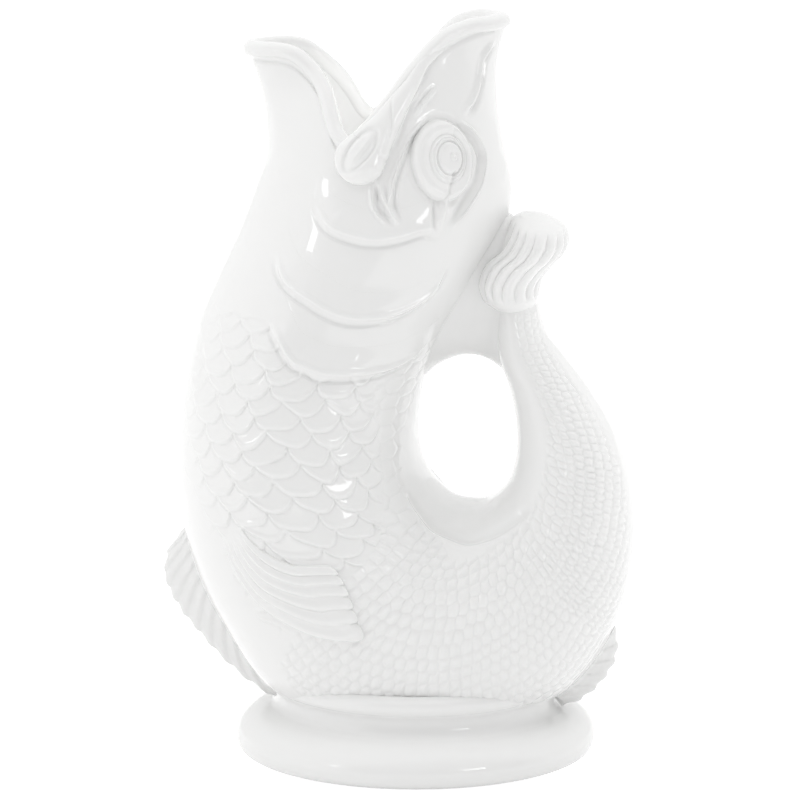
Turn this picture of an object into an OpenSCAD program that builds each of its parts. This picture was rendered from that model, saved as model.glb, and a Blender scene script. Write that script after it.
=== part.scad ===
// Gurgle jug: a slip-cast fish that stands on its own curled tail.
// The mouth is the spout, the hollow tail is the handle, and air caught in the tail gurgles when
// the jug is poured. The origin is the centre of the foot, on the table. The belly faces -X, the
// tail +X, and the flanks -Y and +Y.

/* [Overall] */
// Height from the table to the tip of the snout
jug_height = 250; // [130:1:320]
// Length from the front of the belly to the back of the tail
body_length = 155; // [100:1:210]
// Width across both flanks
body_width = 103; // [70:1:140]
// Thickness of the cast wall
wall = 4.5; // [2.5:0.1:6]

/* [Mouth] */
// Thickness of the rolled bead round the mouth, across the wall
lip_thickness = 6.6; // [4:0.1:9]
// Height of the bead, along the wall
lip_height = 5.4; // [3:0.1:8]
// Width of the rolled lobe at each corner of the mouth
lobe_width = 16.5; // [10:0.5:20]
// Height of the lobes above the cheek
lobe_rise = 4.6; // [2:0.1:7]

/* [Eyes] */
// Height of the ring round each eye
eye_length = 25; // [14:0.5:32]
// Width of the ring round each eye
eye_width = 18.5; // [10:0.5:24]
// How far each eye stands out of the head
eye_rise = 3; // [1:0.1:5]

/* [Gill covers] */
// Height of the step at the edge of each gill cover
gill_step = 1.8; // [0.8:0.1:3.5]
// Width of the raised band along each edge
gill_band = 12; // [6:0.5:16]

/* [Fins] */
// How far the breast fins stand out of the flank
breast_fin_rise = 2.6; // [1.2:0.1:5]
// Number of ribs in each breast fin
breast_fin_ribs = 6; // [4:1:8]
// How far the belly fin stands out of the belly
belly_fin_reach = 12; // [6:0.5:16]
// Thickness of the belly fin at its root
belly_fin_thickness = 7; // [4:0.5:10]
// Number of ribs in the belly fin
belly_fin_ribs = 9; // [6:1:12]
// How far the back fin stands out of the tail
back_fin_reach = 9.5; // [5:0.5:12]
// Thickness of the back fin at its root
back_fin_thickness = 7; // [4:0.5:10]
// Number of ribs in the back fin
back_fin_ribs = 5; // [3:1:8]
// Width of the fan at the end of the tail
tail_fan_width = 46; // [30:1:60]
// Number of ribs in the fan
tail_fan_ribs = 13; // [9:1:15]
// Depth of the grooves between the ribs of the fan
tail_fan_groove = 1.2; // [0.4:0.1:2]
// Width of the bridge that joins the tail to the back of the head
bridge_width = 21; // [12:1:30]

/* [Foot] */
// Radius of the foot where it is widest
foot_radius = 60.6; // [50:0.2:75]
// Height of the foot, up to the seat of the body
foot_height = 22; // [16:0.5:30]
// Width of the flat ring that the jug stands on
foot_land = 4.5; // [3:0.5:8]
// Radius of the bead under the body
foot_bead_radius = 49.4; // [42:0.2:60]
// Thickness of that bead
foot_bead = 3.6; // [2:0.1:6]
// How far the hollow above the shoulder draws in under the bead
foot_waist_depth = 3.4; // [1:0.1:5]
// Height of the shoulder of the foot
foot_shoulder = 13; // [10:0.5:14]
// Rounding of the rim of the foot at the table
foot_edge = 1.6; // [0.5:0.1:3]

/* [Hidden] */

glaze = [0.93, 0.93, 0.92];
fish_height = jug_height - foot_height;
// How deep a moulded relief is rooted in the wall, before it is cut to the wall's own face
root_depth = wall / 3;
// How far a relief's outline dips under the skin, so that it ends in a clean edge
edge_dip = wall / 9;
foot_facets = 96;

// The cross-sections of the fish, from the mouth, down round the bend and up the tail.
// Each row: outer edge x and z, inner edge x and z, half width of the outer and the inner half,
// and how square each of these halves is. x is a share of the body length, z of the height above
// the foot, and the half widths of half the body width. The outer side is the throat and belly.
section_shares = [
    [-0.368, 0.943, 0.200, 1.000, 0.26, 0.46, 2.2, 1.7],
    [-0.342, 0.904, 0.175, 0.934, 0.32, 0.55, 2.2, 1.8],
    [-0.326, 0.855, 0.175, 0.868, 0.52, 0.62, 2.1, 1.9],
    [-0.323, 0.794, 0.190, 0.803, 0.68, 0.68, 2.1, 2.0],
    [-0.348, 0.741, 0.206, 0.746, 0.74, 0.74, 2.0, 2.0],
    [-0.387, 0.671, 0.190, 0.680, 0.78, 0.78, 2.0, 2.0],
    [-0.432, 0.605, 0.132, 0.610, 0.83, 0.83, 2.0, 2.1],
    [-0.474, 0.539, 0.071, 0.542, 0.87, 0.87, 2.0, 2.2],
    [-0.503, 0.465, 0.023, 0.469, 0.92, 0.92, 2.0, 2.3],
    [-0.516, 0.382, 0.003, 0.399, 0.96, 0.96, 2.1, 2.4],
    [-0.513, 0.294, 0.003, 0.346, 0.99, 0.99, 2.1, 2.5],
    [-0.487, 0.197, 0.023, 0.307, 1.00, 1.00, 2.1, 2.5],
    [-0.426, 0.105, 0.052, 0.283, 0.99, 0.99, 2.2, 2.6],
    [-0.303, -0.009, 0.077, 0.272, 0.97, 0.97, 2.3, 2.6],
    [-0.097, -0.079, 0.106, 0.270, 0.93, 0.93, 2.3, 2.6],
    [0.116, -0.083, 0.135, 0.272, 0.89, 0.89, 2.2, 2.6],
    [0.323, -0.009, 0.165, 0.283, 0.82, 0.82, 2.1, 2.6],
    [0.432, 0.088, 0.194, 0.303, 0.72, 0.72, 2.1, 2.5],
    [0.477, 0.193, 0.215, 0.331, 0.64, 0.64, 2.1, 2.4],
    [0.474, 0.298, 0.223, 0.368, 0.56, 0.56, 2.0, 2.3],
    [0.439, 0.375, 0.219, 0.412, 0.50, 0.50, 2.0, 2.2],
    [0.384, 0.439, 0.206, 0.452, 0.43, 0.43, 2.0, 2.1],
    [0.332, 0.485, 0.187, 0.487, 0.38, 0.38, 2.0, 2.1],
    [0.290, 0.524, 0.174, 0.522, 0.33, 0.33, 2.0, 2.0],
    [0.268, 0.570, 0.171, 0.568, 0.30, 0.30, 2.0, 2.0]
];

// Places on the skin are a way along the fish, as a share of the whole table above, and a way round
// its section, as a share of half a turn: 0 is the throat, 0.5 the flank and 1 the back of the head.
// Where the shells of the cast meet
collar_share = 0.125;
throat_share = 0.2;
belly_share = 0.308;
base_share = 0.5;
tail_share = 0.73;
bore_end_share = 0.933;

// The way round of each column of the mesh, and the way along at which the mouth's edge lies there
mouth_edge_shares = [
    [0, 0.001], [0.078, 0.003], [0.156, 0.004], [0.228, 0.007], [0.283, 0.013], [0.319, 0.027],
    [0.35, 0.043], [0.372, 0.059], [0.386, 0.078], [0.4, 0.095], [0.419, 0.104], [0.439, 0.108],
    [0.467, 0.103], [0.5, 0.093], [0.533, 0.082], [0.567, 0.071], [0.6, 0.058], [0.633, 0.045],
    [0.667, 0.031], [0.7, 0.018], [0.739, 0.008], [0.8, 0.004], [0.867, 0.005], [0.933, 0.006],
    [1, 0.006]
];
half_columns = len(mouth_edge_shares) - 1;
columns = [
    each [for (c = mouth_edge_shares) c],
    each [for (i = [half_columns - 1:-1:1]) [2 - mouth_edge_shares[i][0], mouth_edge_shares[i][1]]]
];

// The fan at the end of the tail and the bridge under it, in rows like those of the fish,
// with the half width as a share of half of their own width
tail_fan_shares = [
    [0.255, 0.545, 0.190, 0.545, 0.45, 0.45, 2.0, 2.0],
    [0.268, 0.570, 0.169, 0.570, 0.70, 0.70, 2.0, 2.0],
    [0.274, 0.592, 0.157, 0.592, 0.82, 0.82, 2.0, 2.0],
    [0.290, 0.614, 0.152, 0.618, 0.90, 0.90, 2.0, 2.0],
    [0.316, 0.640, 0.158, 0.650, 0.96, 0.96, 2.0, 2.0],
    [0.331, 0.666, 0.172, 0.686, 1.00, 1.00, 2.0, 2.0],
    [0.324, 0.690, 0.184, 0.712, 0.98, 0.98, 2.0, 2.0],
    [0.296, 0.705, 0.195, 0.724, 0.86, 0.86, 2.0, 2.0]
];
bridge_shares = [
    [0.010, 0.455, -0.020, 0.560, 1.10, 1.10, 2.0, 2.0],
    [0.045, 0.478, 0.065, 0.625, 1.04, 1.04, 2.0, 2.0],
    [0.084, 0.492, 0.116, 0.665, 1.00, 1.00, 2.0, 2.0],
    [0.123, 0.496, 0.155, 0.682, 1.00, 1.00, 2.0, 2.0],
    [0.161, 0.489, 0.194, 0.675, 1.00, 1.00, 2.0, 2.0],
    [0.194, 0.472, 0.219, 0.627, 1.04, 1.04, 2.0, 2.0],
    [0.213, 0.454, 0.239, 0.583, 0.95, 0.95, 2.0, 2.0]
];

// Lines on the skin, as the way along and the way round: the edges of the gill covers, from the
// throat back
gill_line_shares = [
    [[0.165, 0.35], [0.188, 0.411], [0.198, 0.483], [0.201, 0.544], [0.198, 0.6], [0.194, 0.65],
        [0.198, 0.706]],
    [[0.21, 0.289], [0.238, 0.367], [0.254, 0.461], [0.268, 0.544], [0.271, 0.617], [0.267, 0.694],
        [0.25, 0.761], [0.221, 0.767]],
    [[0.283, 0.378], [0.302, 0.472], [0.313, 0.544], [0.318, 0.622], [0.316, 0.7], [0.308, 0.811],
        [0.298, 0.883]]
];
// The top and the bottom edge of a breast fin, from its root to its end
breast_fin_top_shares = [
    [0.433, 0.383], [0.446, 0.417], [0.46, 0.45], [0.475, 0.483], [0.485, 0.517], [0.494, 0.55],
    [0.498, 0.561]
];
breast_fin_bottom_shares = [
    [0.435, 0.328], [0.463, 0.333], [0.488, 0.344], [0.508, 0.383], [0.525, 0.428], [0.542, 0.467],
    [0.558, 0.5]
];
// The rolled lobe at a corner of the mouth, from its thin end on the snout: the way round, and the
// drop under the mouth's edge as a share of the lobe's width
lobe_line_shares = [
    [0.644, 0.16], [0.611, 0.23], [0.567, 0.27], [0.522, 0.36], [0.478, 0.46], [0.45, 0.5]
];
lobe_width_shares = [0.2, 0.36, 0.5, 0.68, 0.94, 1.0];

eye_place_shares = [0.124, 0.686];
// How far the iris sits behind the middle of the ring, as a share of the eye's width
iris_shift_share = 0.17;
// Distance from the middle of the eye and height, as shares: pupil, iris, groove, ring, rim
eye_shares = [
    [0, 1.15], [0.12, 1.1], [0.3, 0.95], [0.42, 0.3], [0.55, 0.75], [0.75, 1], [0.9, 0.7], [1, -0.2]
];
eye_columns = 20;

// Where the fins on the middle line start and end along the fish, and their reach on the way
belly_fin_span_shares = [0.429, 0.55];
belly_fin_reach_shares = [0.1, 0.55, 0.86, 0.98, 1, 0.94, 0.8, 0.62, 0.42, 0.24, 0.08];
back_fin_span_shares = [0.663, 0.71];
back_fin_reach_shares = [0.6, 0.95, 0.9, 1, 0.85, 0.5, 0.02];
fin_rib_share = 0.2;

// Curves and surfaces

function row_at(t, i) =
    i < 0 ? 2 * t[0] - t[1] : i >= len(t) ? 2 * t[len(t) - 1] - t[len(t) - 2] : t[i];

// A smooth curve through the rows of a table
function curve(t, s) =
    let (i = min(max(floor(s), 0), len(t) - 2), f = s - i)
    let (a = row_at(t, i - 1), b = row_at(t, i), c = row_at(t, i + 1), d = row_at(t, i + 2))
    (2 * b + (c - a) * f + (2 * a - 5 * b + 4 * c - d) * f * f
        + (3 * b - a - 3 * c + d) * f * f * f) / 2;

function along(table, share) = curve(table, share * (len(table) - 1));
function bulge(c, power) = sign(c) * pow(abs(c), 2 / power);
// From 0 to 1 without a corner
function eased(x) = let (k = min(max(x, 0), 1)) k * k * (3 - 2 * k);

// A point of a cross-section that has the given row, v half turns round, inset from its outline
function section_point(q, v, width, inset = 0) =
    let (c = cos(180 * v), s = sin(180 * v))
    let (outer = [q[0] * body_length, foot_height + q[1] * fish_height])
    let (inner = [q[2] * body_length, foot_height + q[3] * fish_height])
    let (span = norm(inner - outer), power = c > 0 ? q[6] : q[7])
    let (half = q[5] + (q[4] - q[5]) * eased(c + 1 / 2))
    let (shift = (span / 2 - inset) * bulge(c, power) / span)
    let (at = (outer + inner) / 2 - (inner - outer) * shift)
    [at[0], -(half * width / 2 - inset) * bulge(s, power), at[1]];

// A point of the fish's skin, flattened where the body sits on the foot
function skin(t, v, inset = 0) =
    let (p = section_point(along(section_shares, t), v, body_width, inset))
    [p[0], p[1], max(p[2], foot_height + inset)];

nudge_share = 0.002;
function skin_down(t, v) = skin(t + nudge_share, v) - skin(t - nudge_share, v);
function skin_round(t, v) = skin(t, v + nudge_share) - skin(t, v - nudge_share);
function unit(a) = a / norm(a);
function skin_normal(t, v) = unit(cross(skin_down(t, v), skin_round(t, v)));
// A place on the skin, raised by h
function raised(place, h) = skin(place[0], place[1]) + skin_normal(place[0], place[1]) * h;
// How much of the way along, or of the half turn, makes one unit of length at a place
function way_per_unit(place) = 2 * nudge_share / norm(skin_down(place[0], place[1]));
function turn_per_unit(place) = 2 * nudge_share / norm(skin_round(place[0], place[1]));

function ring(t, inset = 0) = [for (c = columns) skin(t, c[0], inset)];
// Rings that run from the mouth's wavy edge down to the level collar
function mouth_ring(share, inset = 0) =
    [for (c = columns) skin(c[1] + (collar_share - c[1]) * share, c[0], inset)];

mouth_steps = 6;
collar_steps = 4;
function head_rings(inset = 0) = [
    each [for (i = [0:mouth_steps]) mouth_ring(i / mouth_steps, inset)],
    each tail_of(rings(collar_share, throat_share, collar_steps, inset))
];
function rings(from, to, steps, inset = 0) =
    [for (i = [0:steps]) ring(from + (to - from) * i / steps, inset)];

throat_steps = 4;
belly_steps = 7;
base_steps = 12;
tail_steps = 11;

function reversed(list) = [for (i = [len(list) - 1:-1:0]) list[i]];

// Triangles between rings of n points; closed end to end, or capped with a fan at each end
module lathe(rings, closed = false) {
    n = len(rings[0]);
    m = len(rings);
    points = [each [for (r = rings) each r], middle_of(rings[0]), middle_of(rings[m - 1])];
    last = closed ? m - 1 : m - 2;
    sides = [
        for (i = [0:last], j = [0:n - 1])
        let (k = (i + 1) % m, l = (j + 1) % n)
        each [[i * n + j, i * n + l, k * n + l], [i * n + j, k * n + l, k * n + j]]
    ];
    first_cap = [for (j = [0:n - 1]) [m * n, (j + 1) % n, j]];
    last_cap = [for (j = [0:n - 1]) [m * n + 1, (m - 1) * n + j, (m - 1) * n + (j + 1) % n]];
    if (closed) {
        polyhedron([each [for (r = rings) each r]], sides);
    } else {
        polyhedron(points, [each sides, each first_cap, each last_cap]);
    }
}

function middle_of(list) = [for (k = [0:2]) mean([for (p = list) p[k]])];
function mean(list) = sum(list, len(list) - 1) / len(list);
function sum(list, i) = i < 0 ? 0 : list[i] + sum(list, i - 1);

// A sheet of relief: a grid of [place, height], closed underneath inside the wall
module relief(grid) {
    m = len(grid);
    n = len(grid[0]);
    rim_rings = [
        for (i = [0:m - 1]) [
            each [for (c = grid[i]) raised(c[0], c[1])],
            each [for (c = reversed(grid[i])) raised(c[0], -root_depth)]
        ]
    ];
    points = [each [for (r = rim_rings) each r]];
    w = 2 * n;
    sides = [
        for (i = [0:m - 2], j = [0:w - 1])
        let (l = (j + 1) % w)
        each [[i * w + j, i * w + l, (i + 1) * w + l], [i * w + j, (i + 1) * w + l, (i + 1) * w + j]]
    ];
    ends = [
        for (j = [0:n - 2])
        let (a = j, b = j + 1, c = w - 2 - j, d = w - 1 - j, e = (m - 1) * w)
        each [[a, c, b], [a, d, c], [e + a, e + b, e + c], [e + a, e + c, e + d]]
    ];
    polyhedron(points, [each sides, each ends]);
}

// Keeps sculpted work as one clean mesh
module sculpted() {
    resize([0, 0, 0]) children();
}

// The solid inside the fish's outer skin, which every relief is cut against
module fish_solid() {
    lathe([
        each head_rings(),
        each tail_of(rings(throat_share, belly_share, throat_steps)),
        each tail_of(rings(belly_share, base_share, belly_steps)),
        each tail_of(rings(base_share, tail_share, base_steps)),
        each tail_of(rings(tail_share, 1, tail_steps))
    ]);
}

function tail_of(list) = [for (i = [1:len(list) - 1]) list[i]];

module wall_between(from, to, steps) {
    color(glaze)
        lathe([each rings(from, to, steps), each reversed(rings(from, to, steps, wall))], true);
}

// The shells of the cast

module head_shell() {
    color(glaze) lathe([each head_rings(), each reversed(head_rings(wall))], true);
}

module throat_shell() {
    wall_between(throat_share, belly_share, throat_steps);
}

module belly_shell() {
    wall_between(belly_share, base_share, belly_steps);
}

module base_shell() {
    wall_between(base_share, tail_share, base_steps);
}

// The hollow handle, closed at the top by the root of the fan
module tail_shell() {
    bore_steps = tail_steps - 2;
    color(glaze)
        lathe([
            each reversed(rings(tail_share, bore_end_share, bore_steps, wall)),
            each rings(tail_share, 1, tail_steps)
        ]);
}

// The foot

function arc(centre, r, from, to, steps) =
    [for (i = [0:steps]) centre + r * [cos(from + (to - from) * i / steps),
                                       sin(from + (to - from) * i / steps)]];

module foot_ring() {
    land_out = foot_radius - foot_edge / 2;
    land_in = land_out - foot_land;
    bead_r = foot_bead / 2;
    bead_at = [foot_bead_radius - bead_r, foot_height - bead_r];
    waist = [bead_at[0] - foot_waist_depth / 2, (foot_shoulder + bead_at[1]) / 2];
    shoulder = [foot_bead_radius + foot_waist_depth, foot_shoulder];
    inner_top = foot_bead_radius - foot_bead - 2 * wall;
    side_bulge = foot_edge / 3;
    profile = [
        [land_in, 0],
        [land_out, 0],
        [foot_radius, foot_edge],
        [foot_radius + side_bulge / 2, foot_shoulder * 0.3],
        [foot_radius, foot_shoulder * 0.55],
        [foot_radius - side_bulge * 4, foot_shoulder * 0.8],
        [shoulder[0] + foot_edge, foot_shoulder * 0.96],
        shoulder,
        [shoulder[0] - foot_waist_depth * 0.7, foot_shoulder * 1.03],
        waist,
        each arc(bead_at, bead_r, -70, 90, 6),
        [inner_top, foot_height],
        [inner_top, foot_height - wall / 2],
        [bead_at[0] - wall, foot_shoulder - wall / 2],
        [land_in - wall / 2, foot_shoulder - 1.4 * wall]
    ];
    color(glaze) rotate_extrude($fn = foot_facets) polygon(profile);
}

// The mouth

// One ring of the bead: an oval of flats, square to the mouth's edge
lip_sides = 8;
function lip_ring(i) =
    let (n = len(columns), c = columns[i], next = columns[(i + 1) % n], last = columns[(i + n - 1) % n])
    let (way = unit(edge_middle(next) - edge_middle(last)))
    let (out = unit(cross(cross(way, skin_normal(c[1], c[0])), way)))
    let (up = cross(out, way), corner = 180 / lip_sides)
    [for (k = [0:lip_sides - 1])
        let (a = corner * (2 * k + 1))
        edge_middle(c) + (out * lip_thickness * cos(a) + up * lip_height * sin(a)) / 2 / cos(corner)];

function edge_middle(c) = (skin(c[1], c[0]) + skin(c[1], c[0], wall)) / 2;

module lip_tube() {
    lathe([for (i = [0:len(columns) - 1]) lip_ring(i)], true);
}

module mouth_lip() {
    color(glaze) sculpted() difference() {
        lip_tube();
        head_shell();
    }
}

lobe_steps = 10;
lobe_columns = 10;
function lobe_place(t) =
    let (q = along(lobe_line_shares, t), edge = [lookup(q[0], mouth_edge_shares), q[0]])
    edge + [q[1] * lobe_width * way_per_unit(edge), 0];

module mouth_lobe() {
    color(glaze) sculpted() difference() {
        relief([
            for (i = [0:lobe_steps])
            let (t = i / lobe_steps, at = lobe_place(t), half_step = 1 / lobe_steps / 2)
            let (way = lobe_place(t + half_step) - lobe_place(t - half_step))
            let (across = unit([way[1] / turn_per_unit(at), -way[0] / way_per_unit(at)]))
            let (half = lobe_width / 2 * along(lobe_width_shares, t) * end_round(t))
            [
                for (j = [0:lobe_columns])
                let (u = 1 - 2 * j / lobe_columns)
                [
                    at + half * u * [across[0] * way_per_unit(at), across[1] * turn_per_unit(at)],
                    (lobe_rise + edge_dip) * sqrt(max(0, 1 - u * u)) * along(lobe_width_shares, t)
                        * end_round(t) - edge_dip
                ]
            ]
        ]);
        fish_solid();
        lip_tube();
    }
}

// 1 along most of the way, and round at the far end
function end_round(t) = t < 0.75 ? 1 : sqrt(max(0.02, 1 - pow((t - 0.75) / 0.25, 2)));

module left_mouth_lobe() {
    mouth_lobe();
}

module right_mouth_lobe() {
    mirror([0, 1, 0]) mouth_lobe();
}

// The eyes: rings round the middle, on the curved skin

function eye_point(share, a) =
    let (up = share * eye_length / 2 * sin(a), side = share * eye_width / 2 * cos(a))
    [
        eye_place_shares[0] - up * way_per_unit(eye_place_shares),
        eye_place_shares[1] + (side + iris_shift_share * eye_width * (1 - share))
            * turn_per_unit(eye_place_shares)
    ];

module eye() {
    tops = [
        for (e = tail_of(eye_shares))
        [for (k = [0:eye_columns - 1]) raised(eye_point(e[0], 360 * k / eye_columns), e[1] * eye_rise)]
    ];
    under = [for (k = [0:eye_columns - 1]) raised(eye_point(1, 360 * k / eye_columns), -root_depth)];
    color(glaze) sculpted() difference() {
        lathe([each tops, under]);
        fish_solid();
    }
}

module left_eye() {
    eye();
}

module right_eye() {
    mirror([0, 1, 0]) eye();
}

// The gill covers: a band that rises towards the edge and drops over it

gill_profile_shares = [[-0.16, -0.3], [-0.1, 0.35], [0, 0.9], [0.12, 1], [0.3, 0.7], [0.6, 0.3], [1, -0.3]];
gill_steps = 14;

module gill_cover(line) {
    difference() {
        relief([
            for (i = [0:gill_steps])
            let (t = i / gill_steps, at = along(line, t))
            [
                for (p = gill_profile_shares)
                [
                    at - [p[0] * gill_band * way_per_unit(at), 0],
                    gill_step * p[1] * sqrt(max(0, sin(180 * t))) - edge_dip * (1 - sin(180 * t))
                ]
            ]
        ]);
        fish_solid();
    }
}

module gill_covers() {
    color(glaze) sculpted() union() {
        for (line = gill_line_shares) gill_cover(line);
    }
}

module left_gill_covers() {
    gill_covers();
}

module right_gill_covers() {
    mirror([0, 1, 0]) gill_covers();
}

// The fins

breast_fin_steps = 9;
module breast_fin() {
    across_steps = 4 * breast_fin_ribs;
    color(glaze) sculpted() difference() {
        relief([
            for (i = [0:breast_fin_steps])
            let (t = i / breast_fin_steps)
            let (a = along(breast_fin_top_shares, t), b = along(breast_fin_bottom_shares, t))
            [
                for (j = [0:across_steps])
                let (u = 1 - j / across_steps, rib = abs(sin(180 * breast_fin_ribs * u)))
                let (side = min(1, 4 * min(u, 1 - u) + 0.3))
                [
                    a + (b - a) * u,
                    breast_fin_rise * (0.4 + 0.6 * rib) * side * sqrt(min(1, 0.05 + 2 * t)) - edge_dip
                ]
            ]
        ]);
        fish_solid();
    }
}

module left_breast_fin() {
    breast_fin();
}

module right_breast_fin() {
    mirror([0, 1, 0]) breast_fin();
}

// A fin on the middle line: thick at the skin, thin at its ribbed outer edge
module middle_fin(span, reach_shares, reach, thickness, ribs) {
    steps = 4 * ribs;
    depth_shares = [[-0.25, 1.3], [0.12, 1], [0.5, 0.7], [0.9, 0.55], [1, 0.25]];
    color(glaze) sculpted() difference() {
        lathe([
            for (i = [0:steps])
            let (t = i / steps, s = span[0] + (span[1] - span[0]) * t)
            let (far = reach * along(reach_shares, t), rib = 1 + fin_rib_share * cos(360 * ribs * t))
            let (foot = bare_skin(s), out = unit(foot - bare_skin_inner(s)))
            let (flow = unit(bare_skin(s + nudge_share) - bare_skin(s - nudge_share)))
            let (normal = unit(out - flow * (out * flow)))
            [
                each [for (d = depth_shares)
                    foot + normal * max(d[0] * far, -wall / 2) + [0, thickness / 2 * d[1] * rib, 0]],
                each [for (d = reversed(depth_shares))
                    foot + normal * max(d[0] * far, -wall / 2) - [0, thickness / 2 * d[1] * rib, 0]]
            ]
        ]);
        fish_solid();
        foot_ring();
        cylinder(h = foot_height, r = foot_bead_radius - foot_bead, $fn = foot_facets);
    }
}

// The outer and the inner edge of the section, before the body is flattened on the foot
function bare_skin(t) = section_point(along(section_shares, t), 0, body_width);
function bare_skin_inner(t) = section_point(along(section_shares, t), 1, body_width);

module belly_fin() {
    middle_fin(belly_fin_span_shares, belly_fin_reach_shares, belly_fin_reach, belly_fin_thickness,
        belly_fin_ribs);
}

module back_fin() {
    middle_fin(back_fin_span_shares, back_fin_reach_shares, back_fin_reach, back_fin_thickness,
        back_fin_ribs);
}

// The fan at the end of the tail, fluted all round
fan_steps = 10;
module fan_solid() {
    fan_columns = 4 * tail_fan_ribs;
    lathe([
        for (i = [0:fan_steps])
        let (t = i / fan_steps, q = along(tail_fan_shares, t))
        [
            for (k = [0:fan_columns - 1])
            let (groove = tail_fan_groove * sin(180 * min(1, t * 1.15)))
            section_point(q, 2 * k / fan_columns, tail_fan_width,
                groove * pow(sin(180 * k * tail_fan_ribs / fan_columns), 2))
        ]
    ]);
}

module tail_fan() {
    color(glaze) sculpted() difference() {
        fan_solid();
        fish_solid();
    }
}

// The bridge that closes the finger hole at the top
bridge_steps = 9;
bridge_columns = 20;
module tail_bridge() {
    color(glaze) sculpted() difference() {
        lathe([
            for (i = [0:bridge_steps])
            let (q = along(bridge_shares, i / bridge_steps))
            [for (k = [0:bridge_columns - 1]) section_point(q, 2 * k / bridge_columns, bridge_width)]
        ]);
        fish_solid();
        fan_solid();
    }
}

foot_ring();
base_shell();
belly_shell();
throat_shell();
head_shell();
tail_shell();
tail_fan();
tail_bridge();
mouth_lip();
left_mouth_lobe();
right_mouth_lobe();
left_eye();
right_eye();
left_gill_covers();
right_gill_covers();
left_breast_fin();
right_breast_fin();
belly_fin();
back_fin();
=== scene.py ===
"""The looks of the fish gurgle jug: glazed, moulded surfaces on the CAD frame, a studio and a camera.

The fish's skin is one surface. A place on it is a station s, counted in rows of SECTION_SHARES from
the mouth down round the bend and up the tail, and an angle v in degrees: 0 is the throat, 90 the
flank and 180 the back of the head. Relief is worked out as a height over that skin. Lengths are in
millimetres until a mesh is made.
"""
import math

import bpy
import numpy as np
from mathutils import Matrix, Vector


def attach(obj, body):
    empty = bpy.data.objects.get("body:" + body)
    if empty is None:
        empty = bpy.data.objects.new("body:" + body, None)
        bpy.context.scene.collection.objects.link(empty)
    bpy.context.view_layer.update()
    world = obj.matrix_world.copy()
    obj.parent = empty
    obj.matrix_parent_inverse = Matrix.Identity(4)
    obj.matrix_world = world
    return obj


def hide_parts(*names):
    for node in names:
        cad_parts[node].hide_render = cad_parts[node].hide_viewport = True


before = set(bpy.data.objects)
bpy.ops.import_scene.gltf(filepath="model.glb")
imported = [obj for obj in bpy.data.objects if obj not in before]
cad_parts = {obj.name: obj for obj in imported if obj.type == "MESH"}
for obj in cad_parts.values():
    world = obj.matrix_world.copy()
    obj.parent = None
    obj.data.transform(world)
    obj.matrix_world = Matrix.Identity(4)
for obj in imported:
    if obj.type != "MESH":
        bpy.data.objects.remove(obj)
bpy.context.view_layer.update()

MM = 0.001
SLOT = "white_glaze"

# The driving sizes of the part
JUG_HEIGHT = 250.0
BODY_LENGTH = 155.0
BODY_WIDTH = 103.0
WALL = 4.5
FOOT_HEIGHT = 22.0
LIP_THICKNESS = 6.6
LIP_HEIGHT = 5.4

# Outer edge x and z, inner edge x and z, half width of the outer and the inner half, and how square
# each half is, as in the part's own table
SECTION_SHARES = np.array([
    [-0.368, 0.943, 0.200, 1.000, 0.26, 0.46, 2.2, 1.7],
    [-0.342, 0.904, 0.175, 0.934, 0.32, 0.55, 2.2, 1.8],
    [-0.326, 0.855, 0.175, 0.868, 0.52, 0.62, 2.1, 1.9],
    [-0.323, 0.794, 0.190, 0.803, 0.68, 0.68, 2.1, 2.0],
    [-0.348, 0.741, 0.206, 0.746, 0.74, 0.74, 2.0, 2.0],
    [-0.387, 0.671, 0.190, 0.680, 0.78, 0.78, 2.0, 2.0],
    [-0.432, 0.605, 0.132, 0.610, 0.83, 0.83, 2.0, 2.1],
    [-0.474, 0.539, 0.071, 0.542, 0.87, 0.87, 2.0, 2.2],
    [-0.503, 0.465, 0.023, 0.469, 0.92, 0.92, 2.0, 2.3],
    [-0.516, 0.382, 0.003, 0.399, 0.96, 0.96, 2.1, 2.4],
    [-0.513, 0.294, 0.003, 0.346, 0.99, 0.99, 2.1, 2.5],
    [-0.487, 0.197, 0.023, 0.307, 1.00, 1.00, 2.1, 2.5],
    [-0.426, 0.105, 0.052, 0.283, 0.99, 0.99, 2.2, 2.6],
    [-0.303, -0.009, 0.077, 0.272, 0.97, 0.97, 2.3, 2.6],
    [-0.097, -0.079, 0.106, 0.270, 0.93, 0.93, 2.3, 2.6],
    [0.116, -0.083, 0.135, 0.272, 0.89, 0.89, 2.2, 2.6],
    [0.323, -0.009, 0.165, 0.283, 0.82, 0.82, 2.1, 2.6],
    [0.432, 0.088, 0.194, 0.303, 0.72, 0.72, 2.1, 2.5],
    [0.477, 0.193, 0.215, 0.331, 0.64, 0.64, 2.1, 2.4],
    [0.474, 0.298, 0.223, 0.368, 0.56, 0.56, 2.0, 2.3],
    [0.439, 0.375, 0.219, 0.412, 0.50, 0.50, 2.0, 2.2],
    [0.384, 0.439, 0.206, 0.452, 0.43, 0.43, 2.0, 2.1],
    [0.332, 0.485, 0.187, 0.487, 0.38, 0.38, 2.0, 2.1],
    [0.290, 0.524, 0.174, 0.522, 0.33, 0.33, 2.0, 2.0],
    [0.268, 0.570, 0.171, 0.568, 0.30, 0.30, 2.0, 2.0]])
ROWS = len(SECTION_SHARES) - 1
# Stations where one part of the body ends and the next begins
COLLAR, THROAT, BELLY, BASE, TAIL = (ROWS * share for share in (0.125, 0.2, 0.308, 0.5, 0.73))

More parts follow.
